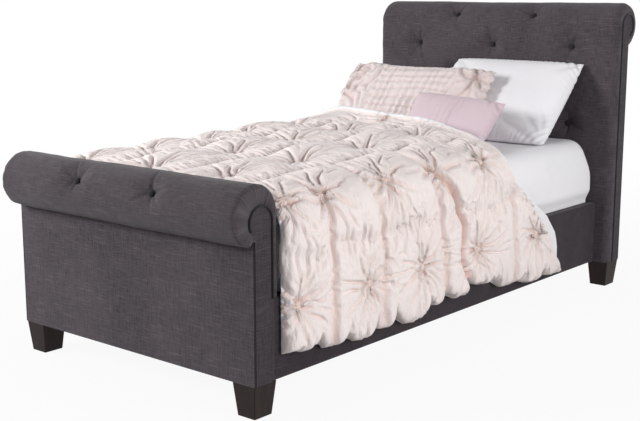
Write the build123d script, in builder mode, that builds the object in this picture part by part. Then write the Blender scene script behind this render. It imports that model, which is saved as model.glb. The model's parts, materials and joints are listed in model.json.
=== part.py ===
from build123d import *
import os
from math import atan2, cos, degrees, radians, sin, sqrt

# An upholstered twin sleigh bed, made up with its bedding.
# X runs across the bed, Y from foot to head, Z up from the floor. Millimetres throughout.
# The origin is on the floor, in the middle of the bed.

# Mattress and fitted sheet
MATTRESS_WIDTH = 965
MATTRESS_LENGTH = 1905
MATTRESS_THICKNESS = 262
MATTRESS_CORNER_RADIUS = 45
MATTRESS_EDGE_RADIUS = 38
MATTRESS_SIDE_GAP = 11.5
MATTRESS_HEAD_GAP = 8
MATTRESS_FOOT_GAP = 22
MATTRESS_RECESS = 8
SHEET_THICKNESS = 1.5
SHEET_HEM_RISE = 9
SOFT_CLEARANCE = 0.3

# Legs
LEG_HEIGHT = 100
LEG_WIDTH = 88
LEG_INSET = 10
LEG_EDGE_RADIUS = 3
FOOT_LEG_DEPTH = 92
HEAD_LEG_DEPTH = 97
LEG_BOLT_DIAMETER = 8
LEG_BOLT_GRIP = 35
LEG_BOLT_INSET = 20
BOLT_CLEARANCE = 0.2

# Rolled tops, shared by the headboard and the footboard
ROLL_RADIUS = 90
CORE_RADIUS = 46
CORE_WALL = 6
PAD_GAP = 0.2
PAD_END_RADIUS = 20
WELT_DIAMETER = 6
FOOT_WELT_END_ANGLE = 210
HEAD_WELT_END_ANGLE = -60
END_PANEL_THICKNESS = 30
BOARD_THICKNESS = 12
STRETCHER_HEIGHT = 40

# Footboard
FOOTBOARD_HEIGHT = 679
FOOT_ROLL_SET_BACK = 13
FOOT_CORE_DROP = 17
FOOT_CORE_SET_BACK = 30
FOOT_TUFT_SPACING = 340
FOOT_TUFT_ANGLE = 30

# Headboard
HEADBOARD_HEIGHT = 1150
HEAD_POST_DEPTH = 60
HEAD_OVERHANG = 58
HEAD_TUFT_SPACING = 377
HEAD_TUFT_ROW_RISE = 155.5
HEAD_TUFT_TOP_ROW_DROP = 178
HEAD_TUFT_ROWS = 3
HEAD_ROLL_TUFT_ANGLE = 32

# Sewn tufts and their covered buttons
TUFT_RADIUS = 56
TUFT_DEPTH = 22
TUFT_LIP = 2
BUTTON_RADIUS = 11
BUTTON_HEIGHT = 7
BUTTON_EDGE = 3

# Side rails
RAIL_HEIGHT = 247
RAIL_BOARD_THICKNESS = 26
RAIL_PADDING = 8
RAIL_FABRIC_TURN = 5
RAIL_COVER_RADIUS = 4
LEDGER_WIDTH = 30
LEDGER_HEIGHT = 40
LEDGER_END_GAP = 5

# Rail brackets and their bolts
BRACKET_LENGTH = 60
BRACKET_HEIGHT = 110
BRACKET_THICKNESS = 3
BRACKET_BASE_Z = 155
BRACKET_HOLE_INSET = 22
BRACKET_BOLT_DIAMETER = 8
BRACKET_BOLT_HEAD = 13
BRACKET_BOLT_HEAD_HEIGHT = 5
BRACKET_BOLT_GRIP = 20

# Slats, straps and the centre support
SLAT_COUNT = 10
SLAT_WIDTH = 70
SLAT_THICKNESS = 18
SLAT_FROM_RAIL_END = 68.5
SLAT_END_GAP = 4
STRAP_WIDTH = 25
STRAP_THICKNESS = 1.2
STRAP_SPACING = 600
BEAM_WIDTH = 45
BEAM_HEIGHT = 60
HANGER_THICKNESS = 2.5
HANGER_REACH = 50
HANGER_PLATE_WIDTH = 110
SUPPORT_FROM_RAIL_END = 501
SUPPORT_WIDTH = 45
SUPPORT_GROUND_GAP = 24
GLIDE_RADIUS = 22
GLIDE_HEIGHT = 9
GLIDE_CHAMFER = 1.5
STUD_DIAMETER = 8
STUD_LENGTH = 62
STUD_SPIGOT = 5
STUD_FLANGE_WIDTH = 16
STUD_FLANGE_HEIGHT = 5
STUD_TRAVEL = 9
STUD_CLEARANCE = 0.3

# Comforter, laid from the footboard to just below the pillows and hanging over both rails
COMFORTER_FOOT_GAP = 2
COMFORTER_SHORT_OF_HEAD = 482
COMFORTER_ROWS = 5
COMFORTER_LOFT_FOOT = 46
COMFORTER_LOFT_HEAD = 98
COMFORTER_PUFF = 22
COMFORTER_SIDE_GAP = 3
COMFORTER_SIDE_THICKNESS = 50
COMFORTER_HEM_Z = 168
COMFORTER_HEAD_HEM_DROP = 40
COMFORTER_SHOULDER_RADIUS = 80
COMFORTER_TURN_BACK = 250
COMFORTER_TURN_BACK_WIDTH = 930
COMFORTER_NEAR_SWING = 384
COMFORTER_FAR_SWING = 40
COMFORTER_OVERLAP = 20
COMFORTER_MARGIN = 2

# Pillows: width, slant height, thickness, how far the bottom seam stands from the headboard,
# where the middle lies across the bed, and how steeply each one leans
WHITE_PILLOW = {"width": 600, "height": 436, "thickness": 124, "from_head": 326, "across": 155, "lean": 44}
SHAM = {"width": 710, "height": 345, "thickness": 104, "from_head": 434, "across": -190, "lean": 50}
ACCENT_PILLOW = {"width": 415, "height": 235, "thickness": 84, "from_head": 554, "across": 135, "lean": 52}
PILLOW_SEAM = 4
PILLOW_CROWN_EDGE = 3
PILLOW_DRAW_IN = 0.06
PILLOW_STATIONS = (-1, -0.85, -0.5, 0, 0.5, 0.85, 1)

# Heights worked out from the driving dimensions
FOOT_ROLL_Z = FOOTBOARD_HEIGHT - ROLL_RADIUS
FOOT_CORE_Z = FOOT_ROLL_Z - FOOT_CORE_DROP
HEAD_ROLL_Z = HEADBOARD_HEIGHT - ROLL_RADIUS
HEAD_TUFT_TOP_ROW_Z = HEADBOARD_HEIGHT - HEAD_TUFT_TOP_ROW_DROP
RAIL_TOP_Z = LEG_HEIGHT + RAIL_HEIGHT
MATTRESS_BASE_Z = RAIL_TOP_Z - MATTRESS_RECESS
MATTRESS_TOP_Z = MATTRESS_BASE_Z + MATTRESS_THICKNESS
SHEET_TOP_Z = MATTRESS_TOP_Z + SOFT_CLEARANCE + SHEET_THICKNESS
BEDDING_Z = SHEET_TOP_Z + SOFT_CLEARANCE
SLAT_TOP_Z = MATTRESS_BASE_Z - STRAP_THICKNESS
SLAT_BASE_Z = SLAT_TOP_Z - SLAT_THICKNESS
BEAM_BASE_Z = SLAT_BASE_Z - BEAM_HEIGHT

# Widths
RAIL_INNER_X = MATTRESS_WIDTH / 2 + MATTRESS_SIDE_GAP
RAIL_BOARD_OUTER_X = RAIL_INNER_X + RAIL_BOARD_THICKNESS
RAIL_OUTER_X = RAIL_BOARD_OUTER_X + RAIL_PADDING
FOOT_HALF_WIDTH = RAIL_OUTER_X
HEAD_HALF_WIDTH = RAIL_OUTER_X + HEAD_OVERHANG

# Places along the bed
FOOT_DEPTH = FOOT_CORE_SET_BACK + CORE_RADIUS
FOOT_PAD_REACH = FOOT_ROLL_SET_BACK + ROLL_RADIUS - FOOT_DEPTH
RAIL_LENGTH = FOOT_PAD_REACH + MATTRESS_FOOT_GAP + MATTRESS_LENGTH + MATTRESS_HEAD_GAP
BED_LENGTH = ROLL_RADIUS - FOOT_ROLL_SET_BACK + FOOT_DEPTH + RAIL_LENGTH + 2 * ROLL_RADIUS
FOOT_FACE_Y = -BED_LENGTH / 2 + ROLL_RADIUS - FOOT_ROLL_SET_BACK
FOOT_ROLL_Y = FOOT_FACE_Y + FOOT_ROLL_SET_BACK
FOOT_CORE_Y = FOOT_FACE_Y + FOOT_CORE_SET_BACK
FOOT_INNER_Y = FOOT_FACE_Y + FOOT_DEPTH
FOOT_PAD_BACK_Y = FOOT_INNER_Y + FOOT_PAD_REACH
HEAD_FACE_Y = FOOT_INNER_Y + RAIL_LENGTH
HEAD_ROLL_Y = HEAD_FACE_Y + ROLL_RADIUS
HEAD_POST_FRONT_Y = HEAD_ROLL_Y - CORE_RADIUS
HEAD_POST_BACK_Y = HEAD_POST_FRONT_Y + HEAD_POST_DEPTH
MATTRESS_MID_Y = HEAD_FACE_Y - MATTRESS_HEAD_GAP - MATTRESS_LENGTH / 2
RAIL_MID_Y = (FOOT_INNER_Y + HEAD_FACE_Y) / 2

os.makedirs("parts", exist_ok=True)


def write(part, name):
    part.label = name
    export_step(part, f"parts/{name}.step")


def block(x, y, z):
    """A plain board between two places along each axis."""
    with BuildPart() as board:
        with BuildSketch(Plane.XY.offset(z[0])):
            with Locations(((x[0] + x[1]) / 2, (y[0] + y[1]) / 2)):
                Rectangle(x[1] - x[0], y[1] - y[0])
        extrude(amount=z[1] - z[0])
    return board.part


def sided(side, inner, outer):
    """The two places across the bed of something that lies between inner and outer on one side."""
    return (inner, outer) if side > 0 else (-outer, -inner)


def rectangle_between(y, z, mode=Mode.ADD):
    """A rectangle in a section across the bed's side, from its places along Y and Z."""
    with Locations(((y[0] + y[1]) / 2, (z[0] + z[1]) / 2)):
        Rectangle(y[1] - y[0], z[1] - z[0], mode=mode)


# Footboard


def foot_end_panel(side):
    """The post at one end of the footboard, with the round head that carries the roll."""
    x = sided(side, FOOT_HALF_WIDTH - END_PANEL_THICKNESS, FOOT_HALF_WIDTH)
    with BuildPart() as panel:
        with BuildSketch(Plane.YZ.offset(x[0])):
            rectangle_between((FOOT_FACE_Y + BOARD_THICKNESS, FOOT_INNER_Y), (LEG_HEIGHT, FOOT_CORE_Z))
            rectangle_between((FOOT_FACE_Y, FOOT_CORE_Y), (FOOT_CORE_Z - CORE_RADIUS, FOOT_CORE_Z))
            with Locations((FOOT_CORE_Y, FOOT_CORE_Z)):
                Circle(CORE_RADIUS)
        extrude(amount=END_PANEL_THICKNESS)
    return panel.part


def roll_former(half_width, y, z):
    """The tube under the padding of a rolled top."""
    with BuildPart() as former:
        with BuildSketch(Plane.YZ.offset(-half_width)):
            with Locations((y, z)):
                Circle(CORE_RADIUS)
                Circle(CORE_RADIUS - CORE_WALL, mode=Mode.SUBTRACT)
        extrude(amount=2 * half_width)
    return former.part


def tuft_plane(x, y, z, rise):
    """A plane on the padding's surface, facing out towards the foot and tilted up by rise degrees."""
    return Plane(origin=(x, y, z), x_dir=(1, 0, 0), z_dir=(0, -cos(radians(rise)), sin(radians(rise))))


def roll_tuft(x, roll_y, roll_z, rise):
    """A tuft's plane on a rolled top, rise degrees above level."""
    return tuft_plane(x, roll_y - ROLL_RADIUS * cos(radians(rise)), roll_z + ROLL_RADIUS * sin(radians(rise)), rise)


FOOT_TUFTS = [roll_tuft(x, FOOT_ROLL_Y, FOOT_ROLL_Z, FOOT_TUFT_ANGLE)
              for x in (-FOOT_TUFT_SPACING / 2, FOOT_TUFT_SPACING / 2)]
HEAD_TUFTS = [roll_tuft(x, HEAD_ROLL_Y, HEAD_ROLL_Z, HEAD_ROLL_TUFT_ANGLE)
              for x in (-HEAD_TUFT_SPACING / 2, HEAD_TUFT_SPACING / 2)]
for row in range(HEAD_TUFT_ROWS):
    row_columns = (-1, 0, 1) if row % 2 == 0 else (-0.5, 0.5)
    HEAD_TUFTS += [tuft_plane(c * HEAD_TUFT_SPACING, HEAD_FACE_Y, HEAD_TUFT_TOP_ROW_Z - row * HEAD_TUFT_ROW_RISE, 0)
                   for c in row_columns]


def tuft_section(plane):
    """The plane that holds a tuft's axis: its X lies along the bed's width, its Y along the axis."""
    return Plane(origin=plane.origin, x_dir=plane.x_dir, z_dir=plane.x_dir.cross(plane.z_dir))


def tuft_hollow(plane):
    """The bell-mouthed dimple that a button pulls into the padding."""
    mouth = TUFT_RADIUS - BUTTON_RADIUS - PAD_GAP
    fall = TUFT_DEPTH + TUFT_LIP
    curve = (mouth ** 2 + fall ** 2) / (2 * fall)
    half_angle = atan2(fall, mouth)
    middle = (TUFT_RADIUS - curve * sin(half_angle), TUFT_LIP - curve * (1 - cos(half_angle)))
    with BuildPart() as hollow:
        with BuildSketch(tuft_section(plane)):
            with BuildLine():
                Line((0, -TUFT_DEPTH), (BUTTON_RADIUS + PAD_GAP, -TUFT_DEPTH))
                ThreePointArc((BUTTON_RADIUS + PAD_GAP, -TUFT_DEPTH), middle, (TUFT_RADIUS, TUFT_LIP))
                Polyline((TUFT_RADIUS, TUFT_LIP), (TUFT_RADIUS, fall), (0, fall), (0, -TUFT_DEPTH))
            make_face()
        revolve(axis=Axis(plane.origin, plane.z_dir))
    return hollow.part


def tuft_button(plane):
    """A covered button, domed, at the bottom of its dimple."""
    crown = BUTTON_HEIGHT - TUFT_DEPTH
    edge = BUTTON_EDGE - TUFT_DEPTH
    dome_radius = (BUTTON_RADIUS ** 2 + (crown - edge) ** 2) / (2 * (crown - edge))
    half_angle = atan2(crown - edge, BUTTON_RADIUS)
    shoulder = (dome_radius * sin(half_angle), crown - dome_radius * (1 - cos(half_angle)))
    with BuildPart() as button:
        with BuildSketch(tuft_section(plane)):
            with BuildLine():
                Polyline((0, crown), (0, -TUFT_DEPTH), (BUTTON_RADIUS, -TUFT_DEPTH), (BUTTON_RADIUS, edge))
                ThreePointArc((BUTTON_RADIUS, edge), shoulder, (0, crown))
            make_face()
        revolve(axis=Axis(plane.origin, plane.z_dir))
    return button.part


def round_pad_ends(pad, face_y):
    """Round the padding's outer edges at both ends, along the flat face and round the roll."""
    ends = pad.edges().group_by(Axis.X)[0] + pad.edges().group_by(Axis.X)[-1]
    arcs = [e for e in ends.filter_by(GeomType.CIRCLE) if abs(e.radius - ROLL_RADIUS) < PAD_GAP]
    lines = [e for e in ends.filter_by(GeomType.LINE) if abs(e.center().Y - face_y) < PAD_GAP]
    fillet(arcs + lines, PAD_END_RADIUS)


with BuildPart() as footboard_pad:
    with BuildSketch(Plane.YZ.offset(-FOOT_HALF_WIDTH)):
        rectangle_between((FOOT_ROLL_Y, FOOT_PAD_BACK_Y), (RAIL_TOP_Z, FOOT_ROLL_Z))
        with Locations((FOOT_ROLL_Y, FOOT_ROLL_Z)):
            Circle(ROLL_RADIUS)
        with Locations((FOOT_CORE_Y, FOOT_CORE_Z)):
            Circle(CORE_RADIUS + PAD_GAP, mode=Mode.SUBTRACT)
        rectangle_between((FOOT_FACE_Y, FOOT_INNER_Y + PAD_GAP), (LEG_HEIGHT, FOOT_CORE_Z), Mode.SUBTRACT)
    extrude(amount=2 * FOOT_HALF_WIDTH)
    round_pad_ends(footboard_pad, FOOT_PAD_BACK_Y)
    for tuft in FOOT_TUFTS:
        add(tuft_hollow(tuft), mode=Mode.SUBTRACT)
write(footboard_pad.part, "footboard_pad")

with BuildPart() as headboard_pad:
    with BuildSketch(Plane.YZ.offset(-HEAD_HALF_WIDTH)):
        rectangle_between((HEAD_FACE_Y, HEAD_ROLL_Y), (LEG_HEIGHT, HEAD_ROLL_Z))
        with Locations((HEAD_ROLL_Y, HEAD_ROLL_Z)):
            Circle(ROLL_RADIUS)
            Circle(CORE_RADIUS + PAD_GAP, mode=Mode.SUBTRACT)
        rectangle_between(
            (HEAD_POST_FRONT_Y - PAD_GAP, HEAD_POST_BACK_Y + PAD_GAP), (LEG_HEIGHT, HEAD_ROLL_Z), Mode.SUBTRACT)
    extrude(amount=2 * HEAD_HALF_WIDTH)
    round_pad_ends(headboard_pad, HEAD_FACE_Y)
    for tuft in HEAD_TUFTS:
        add(tuft_hollow(tuft), mode=Mode.SUBTRACT)
write(headboard_pad.part, "headboard_pad")

write(Compound([tuft_button(tuft) for tuft in FOOT_TUFTS]), "footboard_buttons")
write(Compound([tuft_button(tuft) for tuft in HEAD_TUFTS]), "headboard_buttons")

FOOT_INSIDE_X = FOOT_HALF_WIDTH - END_PANEL_THICKNESS
FOOT_BOARD_TOP_Z = FOOT_CORE_Z - CORE_RADIUS
FOOT_CAVITY_Y = (FOOT_FACE_Y + BOARD_THICKNESS, FOOT_INNER_Y - BOARD_THICKNESS)
write(block((-FOOT_HALF_WIDTH, FOOT_HALF_WIDTH), (FOOT_FACE_Y, FOOT_CAVITY_Y[0]),
            (LEG_HEIGHT, FOOT_BOARD_TOP_Z)), "footboard_outer_panel")
write(block((-FOOT_INSIDE_X, FOOT_INSIDE_X), (FOOT_CAVITY_Y[1], FOOT_INNER_Y),
            (LEG_HEIGHT, FOOT_BOARD_TOP_Z)), "footboard_inner_board")
write(block((-FOOT_INSIDE_X, FOOT_INSIDE_X), FOOT_CAVITY_Y,
            (FOOT_BOARD_TOP_Z - STRETCHER_HEIGHT, FOOT_BOARD_TOP_Z)), "footboard_top_stretcher")
write(roll_former(FOOT_INSIDE_X, FOOT_CORE_Y, FOOT_CORE_Z), "footboard_roll_former")


# Headboard


def head_end_panel(side):
    """The post at one end of the headboard, with the round head that carries the roll."""
    x = sided(side, HEAD_HALF_WIDTH - END_PANEL_THICKNESS, HEAD_HALF_WIDTH)
    with BuildPart() as panel:
        with BuildSketch(Plane.YZ.offset(x[0])):
            rectangle_between((HEAD_POST_FRONT_Y, HEAD_POST_BACK_Y), (LEG_HEIGHT, HEAD_ROLL_Z))
            with Locations((HEAD_ROLL_Y, HEAD_ROLL_Z)):
                Circle(CORE_RADIUS)
        extrude(amount=END_PANEL_THICKNESS)
    return panel.part


HEAD_INSIDE_X = HEAD_HALF_WIDTH - END_PANEL_THICKNESS
HEAD_BOARD_TOP_Z = HEAD_ROLL_Z - CORE_RADIUS
HEAD_CAVITY_Y = (HEAD_POST_FRONT_Y + BOARD_THICKNESS, HEAD_POST_BACK_Y - BOARD_THICKNESS)
write(block((-HEAD_INSIDE_X, HEAD_INSIDE_X), (HEAD_POST_FRONT_Y, HEAD_CAVITY_Y[0]),
            (LEG_HEIGHT, HEAD_BOARD_TOP_Z)), "headboard_front_board")
write(block((-HEAD_INSIDE_X, HEAD_INSIDE_X), (HEAD_CAVITY_Y[1], HEAD_POST_BACK_Y),
            (LEG_HEIGHT, HEAD_BOARD_TOP_Z)), "headboard_back_panel")
write(block((-HEAD_INSIDE_X, HEAD_INSIDE_X), HEAD_CAVITY_Y,
            (HEAD_BOARD_TOP_Z - STRETCHER_HEIGHT, HEAD_BOARD_TOP_Z)), "headboard_top_stretcher")
write(roll_former(HEAD_INSIDE_X, HEAD_ROLL_Y, HEAD_ROLL_Z), "headboard_roll_former")


# Bottom stretchers, bored for the bolts that hold the legs


def leg_bolt_places(inside_x, cavity_y):
    """The two leg bolts of one end, in the middle of its bottom stretcher's depth."""
    y = sum(cavity_y) / 2
    return [(side * (inside_x - LEG_BOLT_INSET), y) for side in (-1, 1)]


FOOT_BOLTS = leg_bolt_places(FOOT_INSIDE_X, FOOT_CAVITY_Y)
HEAD_BOLTS = leg_bolt_places(HEAD_INSIDE_X, HEAD_CAVITY_Y)
BOLT_BORE_RADIUS = LEG_BOLT_DIAMETER / 2 + BOLT_CLEARANCE


def bottom_stretcher(inside_x, cavity_y, bolts):
    with BuildPart() as stretcher:
        add(block((-inside_x, inside_x), cavity_y, (LEG_HEIGHT, LEG_HEIGHT + STRETCHER_HEIGHT)))
        with BuildSketch(Plane.XY.offset(LEG_HEIGHT)):
            with Locations(*bolts):
                Circle(BOLT_BORE_RADIUS)
        extrude(amount=LEG_BOLT_GRIP, mode=Mode.SUBTRACT)
    return stretcher.part


write(bottom_stretcher(FOOT_INSIDE_X, FOOT_CAVITY_Y, FOOT_BOLTS), "footboard_bottom_stretcher")
write(bottom_stretcher(HEAD_INSIDE_X, HEAD_CAVITY_Y, HEAD_BOLTS), "headboard_bottom_stretcher")


def leg(x, y, depth, bolt):
    """A tapered square leg with the blind bore for its hanger bolt."""
    with BuildPart() as foot:
        with BuildSketch(Plane.XY.offset(LEG_HEIGHT)):
            with Locations((x, y)):
                Rectangle(LEG_WIDTH, depth)
        extrude(amount=-LEG_HEIGHT, taper=degrees(atan2(LEG_INSET, LEG_HEIGHT)))
        upright = [e for e in foot.edges() if e.bounding_box().size.Z > LEG_HEIGHT / 2]
        fillet(upright, LEG_EDGE_RADIUS)
        with BuildSketch(Plane.XY.offset(LEG_HEIGHT)):
            with Locations(bolt):
                Circle(BOLT_BORE_RADIUS)
        extrude(amount=-LEG_BOLT_GRIP, mode=Mode.SUBTRACT)
    return foot.part


def leg_bolt(place):
    """A hanger bolt, half in the leg and half in the stretcher above it."""
    with BuildPart() as bolt:
        with BuildSketch(Plane.XY.offset(LEG_HEIGHT - LEG_BOLT_GRIP)):
            with Locations(place):
                Circle(LEG_BOLT_DIAMETER / 2)
        extrude(amount=2 * LEG_BOLT_GRIP)
    return bolt.part


write(Compound([leg_bolt(place) for place in FOOT_BOLTS + HEAD_BOLTS]), "leg_bolts")


# Welts, the piping sewn round the end panels


def welt_run(plane, line, arcs=()):
    """One run of piping along a straight line and the arcs that follow it."""
    with BuildPart() as run:
        with BuildLine(plane) as path:
            Line(*line)
            for arc in arcs:
                ThreePointArc(*arc)
        with BuildSketch(Plane(origin=path.line @ 0, z_dir=path.line % 0)):
            Circle(WELT_DIAMETER / 2)
        sweep()
    return run.part


def core_arcs(y, z, start, end):
    """Two arcs round a core's rim, between angles counted from the bed's head direction."""
    rim = [(y + CORE_RADIUS * cos(radians(start + (end - start) * quarter / 4)),
            z + CORE_RADIUS * sin(radians(start + (end - start) * quarter / 4))) for quarter in range(5)]
    return [rim[:3], rim[2:]]


def foot_welt(side):
    """Piping up the footboard's outer corner, and up its inside and round the roll's core."""
    plane = Plane.YZ.offset(side * (FOOT_HALF_WIDTH + WELT_DIAMETER / 2))
    corner_y = FOOT_FACE_Y + WELT_DIAMETER / 2
    corner = welt_run(plane, ((corner_y, LEG_HEIGHT), (corner_y, FOOT_BOARD_TOP_Z - WELT_DIAMETER)))
    arcs = core_arcs(FOOT_CORE_Y, FOOT_CORE_Z, 0, FOOT_WELT_END_ANGLE)
    loop = welt_run(plane, ((FOOT_INNER_Y, RAIL_TOP_Z), arcs[0][0]), arcs)
    return Compound([corner, loop])


def head_welt(side):
    """Piping up the headboard's front seam, then over the roll's core and under it."""
    plane = Plane.YZ.offset(side * (HEAD_HALF_WIDTH + WELT_DIAMETER / 2))
    arcs = core_arcs(HEAD_ROLL_Y, HEAD_ROLL_Z, 180, HEAD_WELT_END_ANGLE)
    return welt_run(plane, ((HEAD_POST_FRONT_Y, LEG_HEIGHT), arcs[0][0]), arcs)


# Side rails, their ledgers and their corner brackets


def rail_cover(side):
    """The padded fabric over a rail's outer face, turned over its top and bottom edges."""
    x = sided(side, RAIL_INNER_X, RAIL_OUTER_X)
    board_x = sided(side, RAIL_INNER_X, RAIL_BOARD_OUTER_X)
    with BuildPart() as cover:
        add(block(x, (FOOT_INNER_Y, HEAD_FACE_Y), (LEG_HEIGHT, RAIL_TOP_Z)))
        outer = cover.edges().filter_by(Axis.Y).group_by(Axis.X)[-1 if side > 0 else 0]
        fillet(outer, RAIL_COVER_RADIUS)
        add(block(board_x, (FOOT_INNER_Y, HEAD_FACE_Y),
                  (LEG_HEIGHT + RAIL_FABRIC_TURN, RAIL_TOP_Z - RAIL_FABRIC_TURN)), mode=Mode.SUBTRACT)
    return cover.part


BRACKET_HOLES_Z = (BRACKET_BASE_Z + BRACKET_HOLE_INSET, BRACKET_BASE_Z + BRACKET_HEIGHT - BRACKET_HOLE_INSET)
BRACKET_HOLE_REACH = BRACKET_LENGTH - BRACKET_HOLE_INSET
BRACKET_HOLE_RADIUS = BRACKET_BOLT_DIAMETER / 2 + BOLT_CLEARANCE
CORNERS = [(side, end) for side in (-1, 1) for end in (FOOT_INNER_Y, HEAD_FACE_Y)]


def along_rail(end, distance):
    """A place at a distance from one end of the rails towards their middle."""
    return end + distance if end < RAIL_MID_Y else end - distance


def rail_bracket(side, end):
    """A steel angle in the corner between a rail and the board that it meets."""
    plates_y = sorted((end, along_rail(end, BRACKET_LENGTH)))
    plate_y = sorted((end, along_rail(end, BRACKET_THICKNESS)))
    z = (BRACKET_BASE_Z, BRACKET_BASE_Z + BRACKET_HEIGHT)
    with BuildPart() as bracket:
        add(block(sided(side, RAIL_INNER_X - BRACKET_THICKNESS, RAIL_INNER_X), plates_y, z))
        add(block(sided(side, RAIL_INNER_X - BRACKET_LENGTH, RAIL_INNER_X), plate_y, z))
        for hole_z in BRACKET_HOLES_Z:
            with BuildSketch(Plane.YZ):
                with Locations((along_rail(end, BRACKET_HOLE_REACH), hole_z)):
                    Circle(BRACKET_HOLE_RADIUS)
            extrude(amount=side * RAIL_INNER_X, mode=Mode.SUBTRACT)
            with BuildSketch(Plane.XZ.offset(-end)):
                with Locations((side * (RAIL_INNER_X - BRACKET_HOLE_REACH), hole_z)):
                    Circle(BRACKET_HOLE_RADIUS)
            extrude(amount=BRACKET_THICKNESS, both=True, mode=Mode.SUBTRACT)
    return bracket.part


def bracket_bolt(seat, grip):
    """A hexagon-headed bolt whose head sits on a bracket, on a plane that faces the head's way."""
    with BuildPart() as bolt:
        with BuildSketch(seat):
            RegularPolygon(BRACKET_BOLT_HEAD / 2, 6, major_radius=False)
        extrude(amount=BRACKET_BOLT_HEAD_HEIGHT)
        with BuildSketch(seat):
            Circle(BRACKET_BOLT_DIAMETER / 2)
        extrude(amount=-grip)
    return bolt.part


def bracket_bolts():
    """Two bolts into the rail and two into the end board at each corner, longer through the padding."""
    bolts = []
    for side, end in CORNERS:
        at_foot = end < RAIL_MID_Y
        padding = 0 if at_foot else HEAD_POST_FRONT_Y - HEAD_FACE_Y
        for z in BRACKET_HOLES_Z:
            rail_seat = Plane(
                origin=(side * (RAIL_INNER_X - BRACKET_THICKNESS), along_rail(end, BRACKET_HOLE_REACH), z),
                z_dir=(-side, 0, 0))
            board_seat = Plane(
                origin=(side * (RAIL_INNER_X - BRACKET_HOLE_REACH), along_rail(end, BRACKET_THICKNESS), z),
                z_dir=(0, 1 if at_foot else -1, 0))
            bolts.append(bracket_bolt(rail_seat, BRACKET_BOLT_GRIP))
            bolts.append(bracket_bolt(board_seat, BRACKET_BOLT_GRIP + padding))
    return Compound(bolts)


write(Compound([rail_bracket(side, end) for side, end in CORNERS]), "rail_brackets")
write(bracket_bolts(), "bracket_bolts")

RAIL_Y = (FOOT_INNER_Y, HEAD_FACE_Y)
RAIL_BOARD_Z = (LEG_HEIGHT + RAIL_FABRIC_TURN, RAIL_TOP_Z - RAIL_FABRIC_TURN)
LEDGER_Y = (FOOT_INNER_Y + LEDGER_END_GAP, HEAD_FACE_Y - LEDGER_END_GAP)
FOOT_LEG_Y = FOOT_FACE_Y + FOOT_LEG_DEPTH / 2
HEAD_LEG_Y = (HEAD_FACE_Y + HEAD_POST_BACK_Y) / 2

for hand, side in (("left", -1), ("right", 1)):
    bolt_index = 0 if side < 0 else 1
    write(foot_end_panel(side), f"footboard_{hand}_end_panel")
    write(head_end_panel(side), f"headboard_{hand}_end_panel")
    write(foot_welt(side), f"footboard_{hand}_welt")
    write(head_welt(side), f"headboard_{hand}_welt")
    foot_leg_x = side * (FOOT_HALF_WIDTH - LEG_WIDTH / 2)
    head_leg_x = side * (HEAD_HALF_WIDTH - LEG_WIDTH / 2)
    write(leg(foot_leg_x, FOOT_LEG_Y, FOOT_LEG_DEPTH, FOOT_BOLTS[bolt_index]), f"footboard_{hand}_leg")
    write(leg(head_leg_x, HEAD_LEG_Y, HEAD_LEG_DEPTH, HEAD_BOLTS[bolt_index]), f"headboard_{hand}_leg")
    write(block(sided(side, RAIL_INNER_X, RAIL_BOARD_OUTER_X), RAIL_Y, RAIL_BOARD_Z), f"{hand}_rail_board")
    write(rail_cover(side), f"{hand}_rail_cover")
    write(block(sided(side, RAIL_INNER_X - LEDGER_WIDTH, RAIL_INNER_X), LEDGER_Y,
                (SLAT_BASE_Z - LEDGER_HEIGHT, SLAT_BASE_Z)), f"{hand}_ledger")


# Slats and the webbing straps that keep them spaced

SLAT_HALF_LENGTH = RAIL_INNER_X - SLAT_END_GAP
FIRST_SLAT_Y = FOOT_INNER_Y + SLAT_FROM_RAIL_END + SLAT_WIDTH / 2
LAST_SLAT_Y = HEAD_FACE_Y - SLAT_FROM_RAIL_END - SLAT_WIDTH / 2
SLAT_PITCH = (LAST_SLAT_Y - FIRST_SLAT_Y) / (SLAT_COUNT - 1)
for index in range(SLAT_COUNT):
    slat_y = FIRST_SLAT_Y + index * SLAT_PITCH
    write(block((-SLAT_HALF_LENGTH, SLAT_HALF_LENGTH), (slat_y - SLAT_WIDTH / 2, slat_y + SLAT_WIDTH / 2),
                (SLAT_BASE_Z, SLAT_TOP_Z)), f"slat_{index + 1:02d}")

STRAP_Y = (FIRST_SLAT_Y - SLAT_WIDTH / 2, LAST_SLAT_Y + SLAT_WIDTH / 2)
write(Compound([
    block((x - STRAP_WIDTH / 2, x + STRAP_WIDTH / 2), STRAP_Y, (SLAT_TOP_Z, MATTRESS_BASE_Z))
    for x in (-STRAP_SPACING / 2, STRAP_SPACING / 2)]), "slat_straps")


# Centre beam, the hangers that hold its ends, and its two adjustable supports

BEAM_Y = (FOOT_INNER_Y + HANGER_THICKNESS, HEAD_FACE_Y - HANGER_THICKNESS)
write(block((-BEAM_WIDTH / 2, BEAM_WIDTH / 2), BEAM_Y, (BEAM_BASE_Z, SLAT_BASE_Z)), "centre_beam")


def beam_hanger(end):
    """A folded steel stirrup on one end board, open at the top, that the beam drops into."""
    plate_y = sorted((end, along_rail(end, HANGER_THICKNESS)))
    cradle_y = sorted((end, along_rail(end, HANGER_REACH)))
    outer_x = BEAM_WIDTH / 2 + HANGER_THICKNESS
    base_z = BEAM_BASE_Z - HANGER_THICKNESS
    with BuildPart() as hanger:
        add(block((-HANGER_PLATE_WIDTH / 2, HANGER_PLATE_WIDTH / 2), plate_y, (base_z, SLAT_BASE_Z)))
        add(block((-outer_x, outer_x), cradle_y, (base_z, SLAT_BASE_Z)))
        add(block((-BEAM_WIDTH / 2, BEAM_WIDTH / 2), BEAM_Y, (BEAM_BASE_Z, SLAT_BASE_Z)), mode=Mode.SUBTRACT)
    return hanger.part


write(Compound([beam_hanger(end) for end in RAIL_Y]), "beam_hangers")


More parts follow.
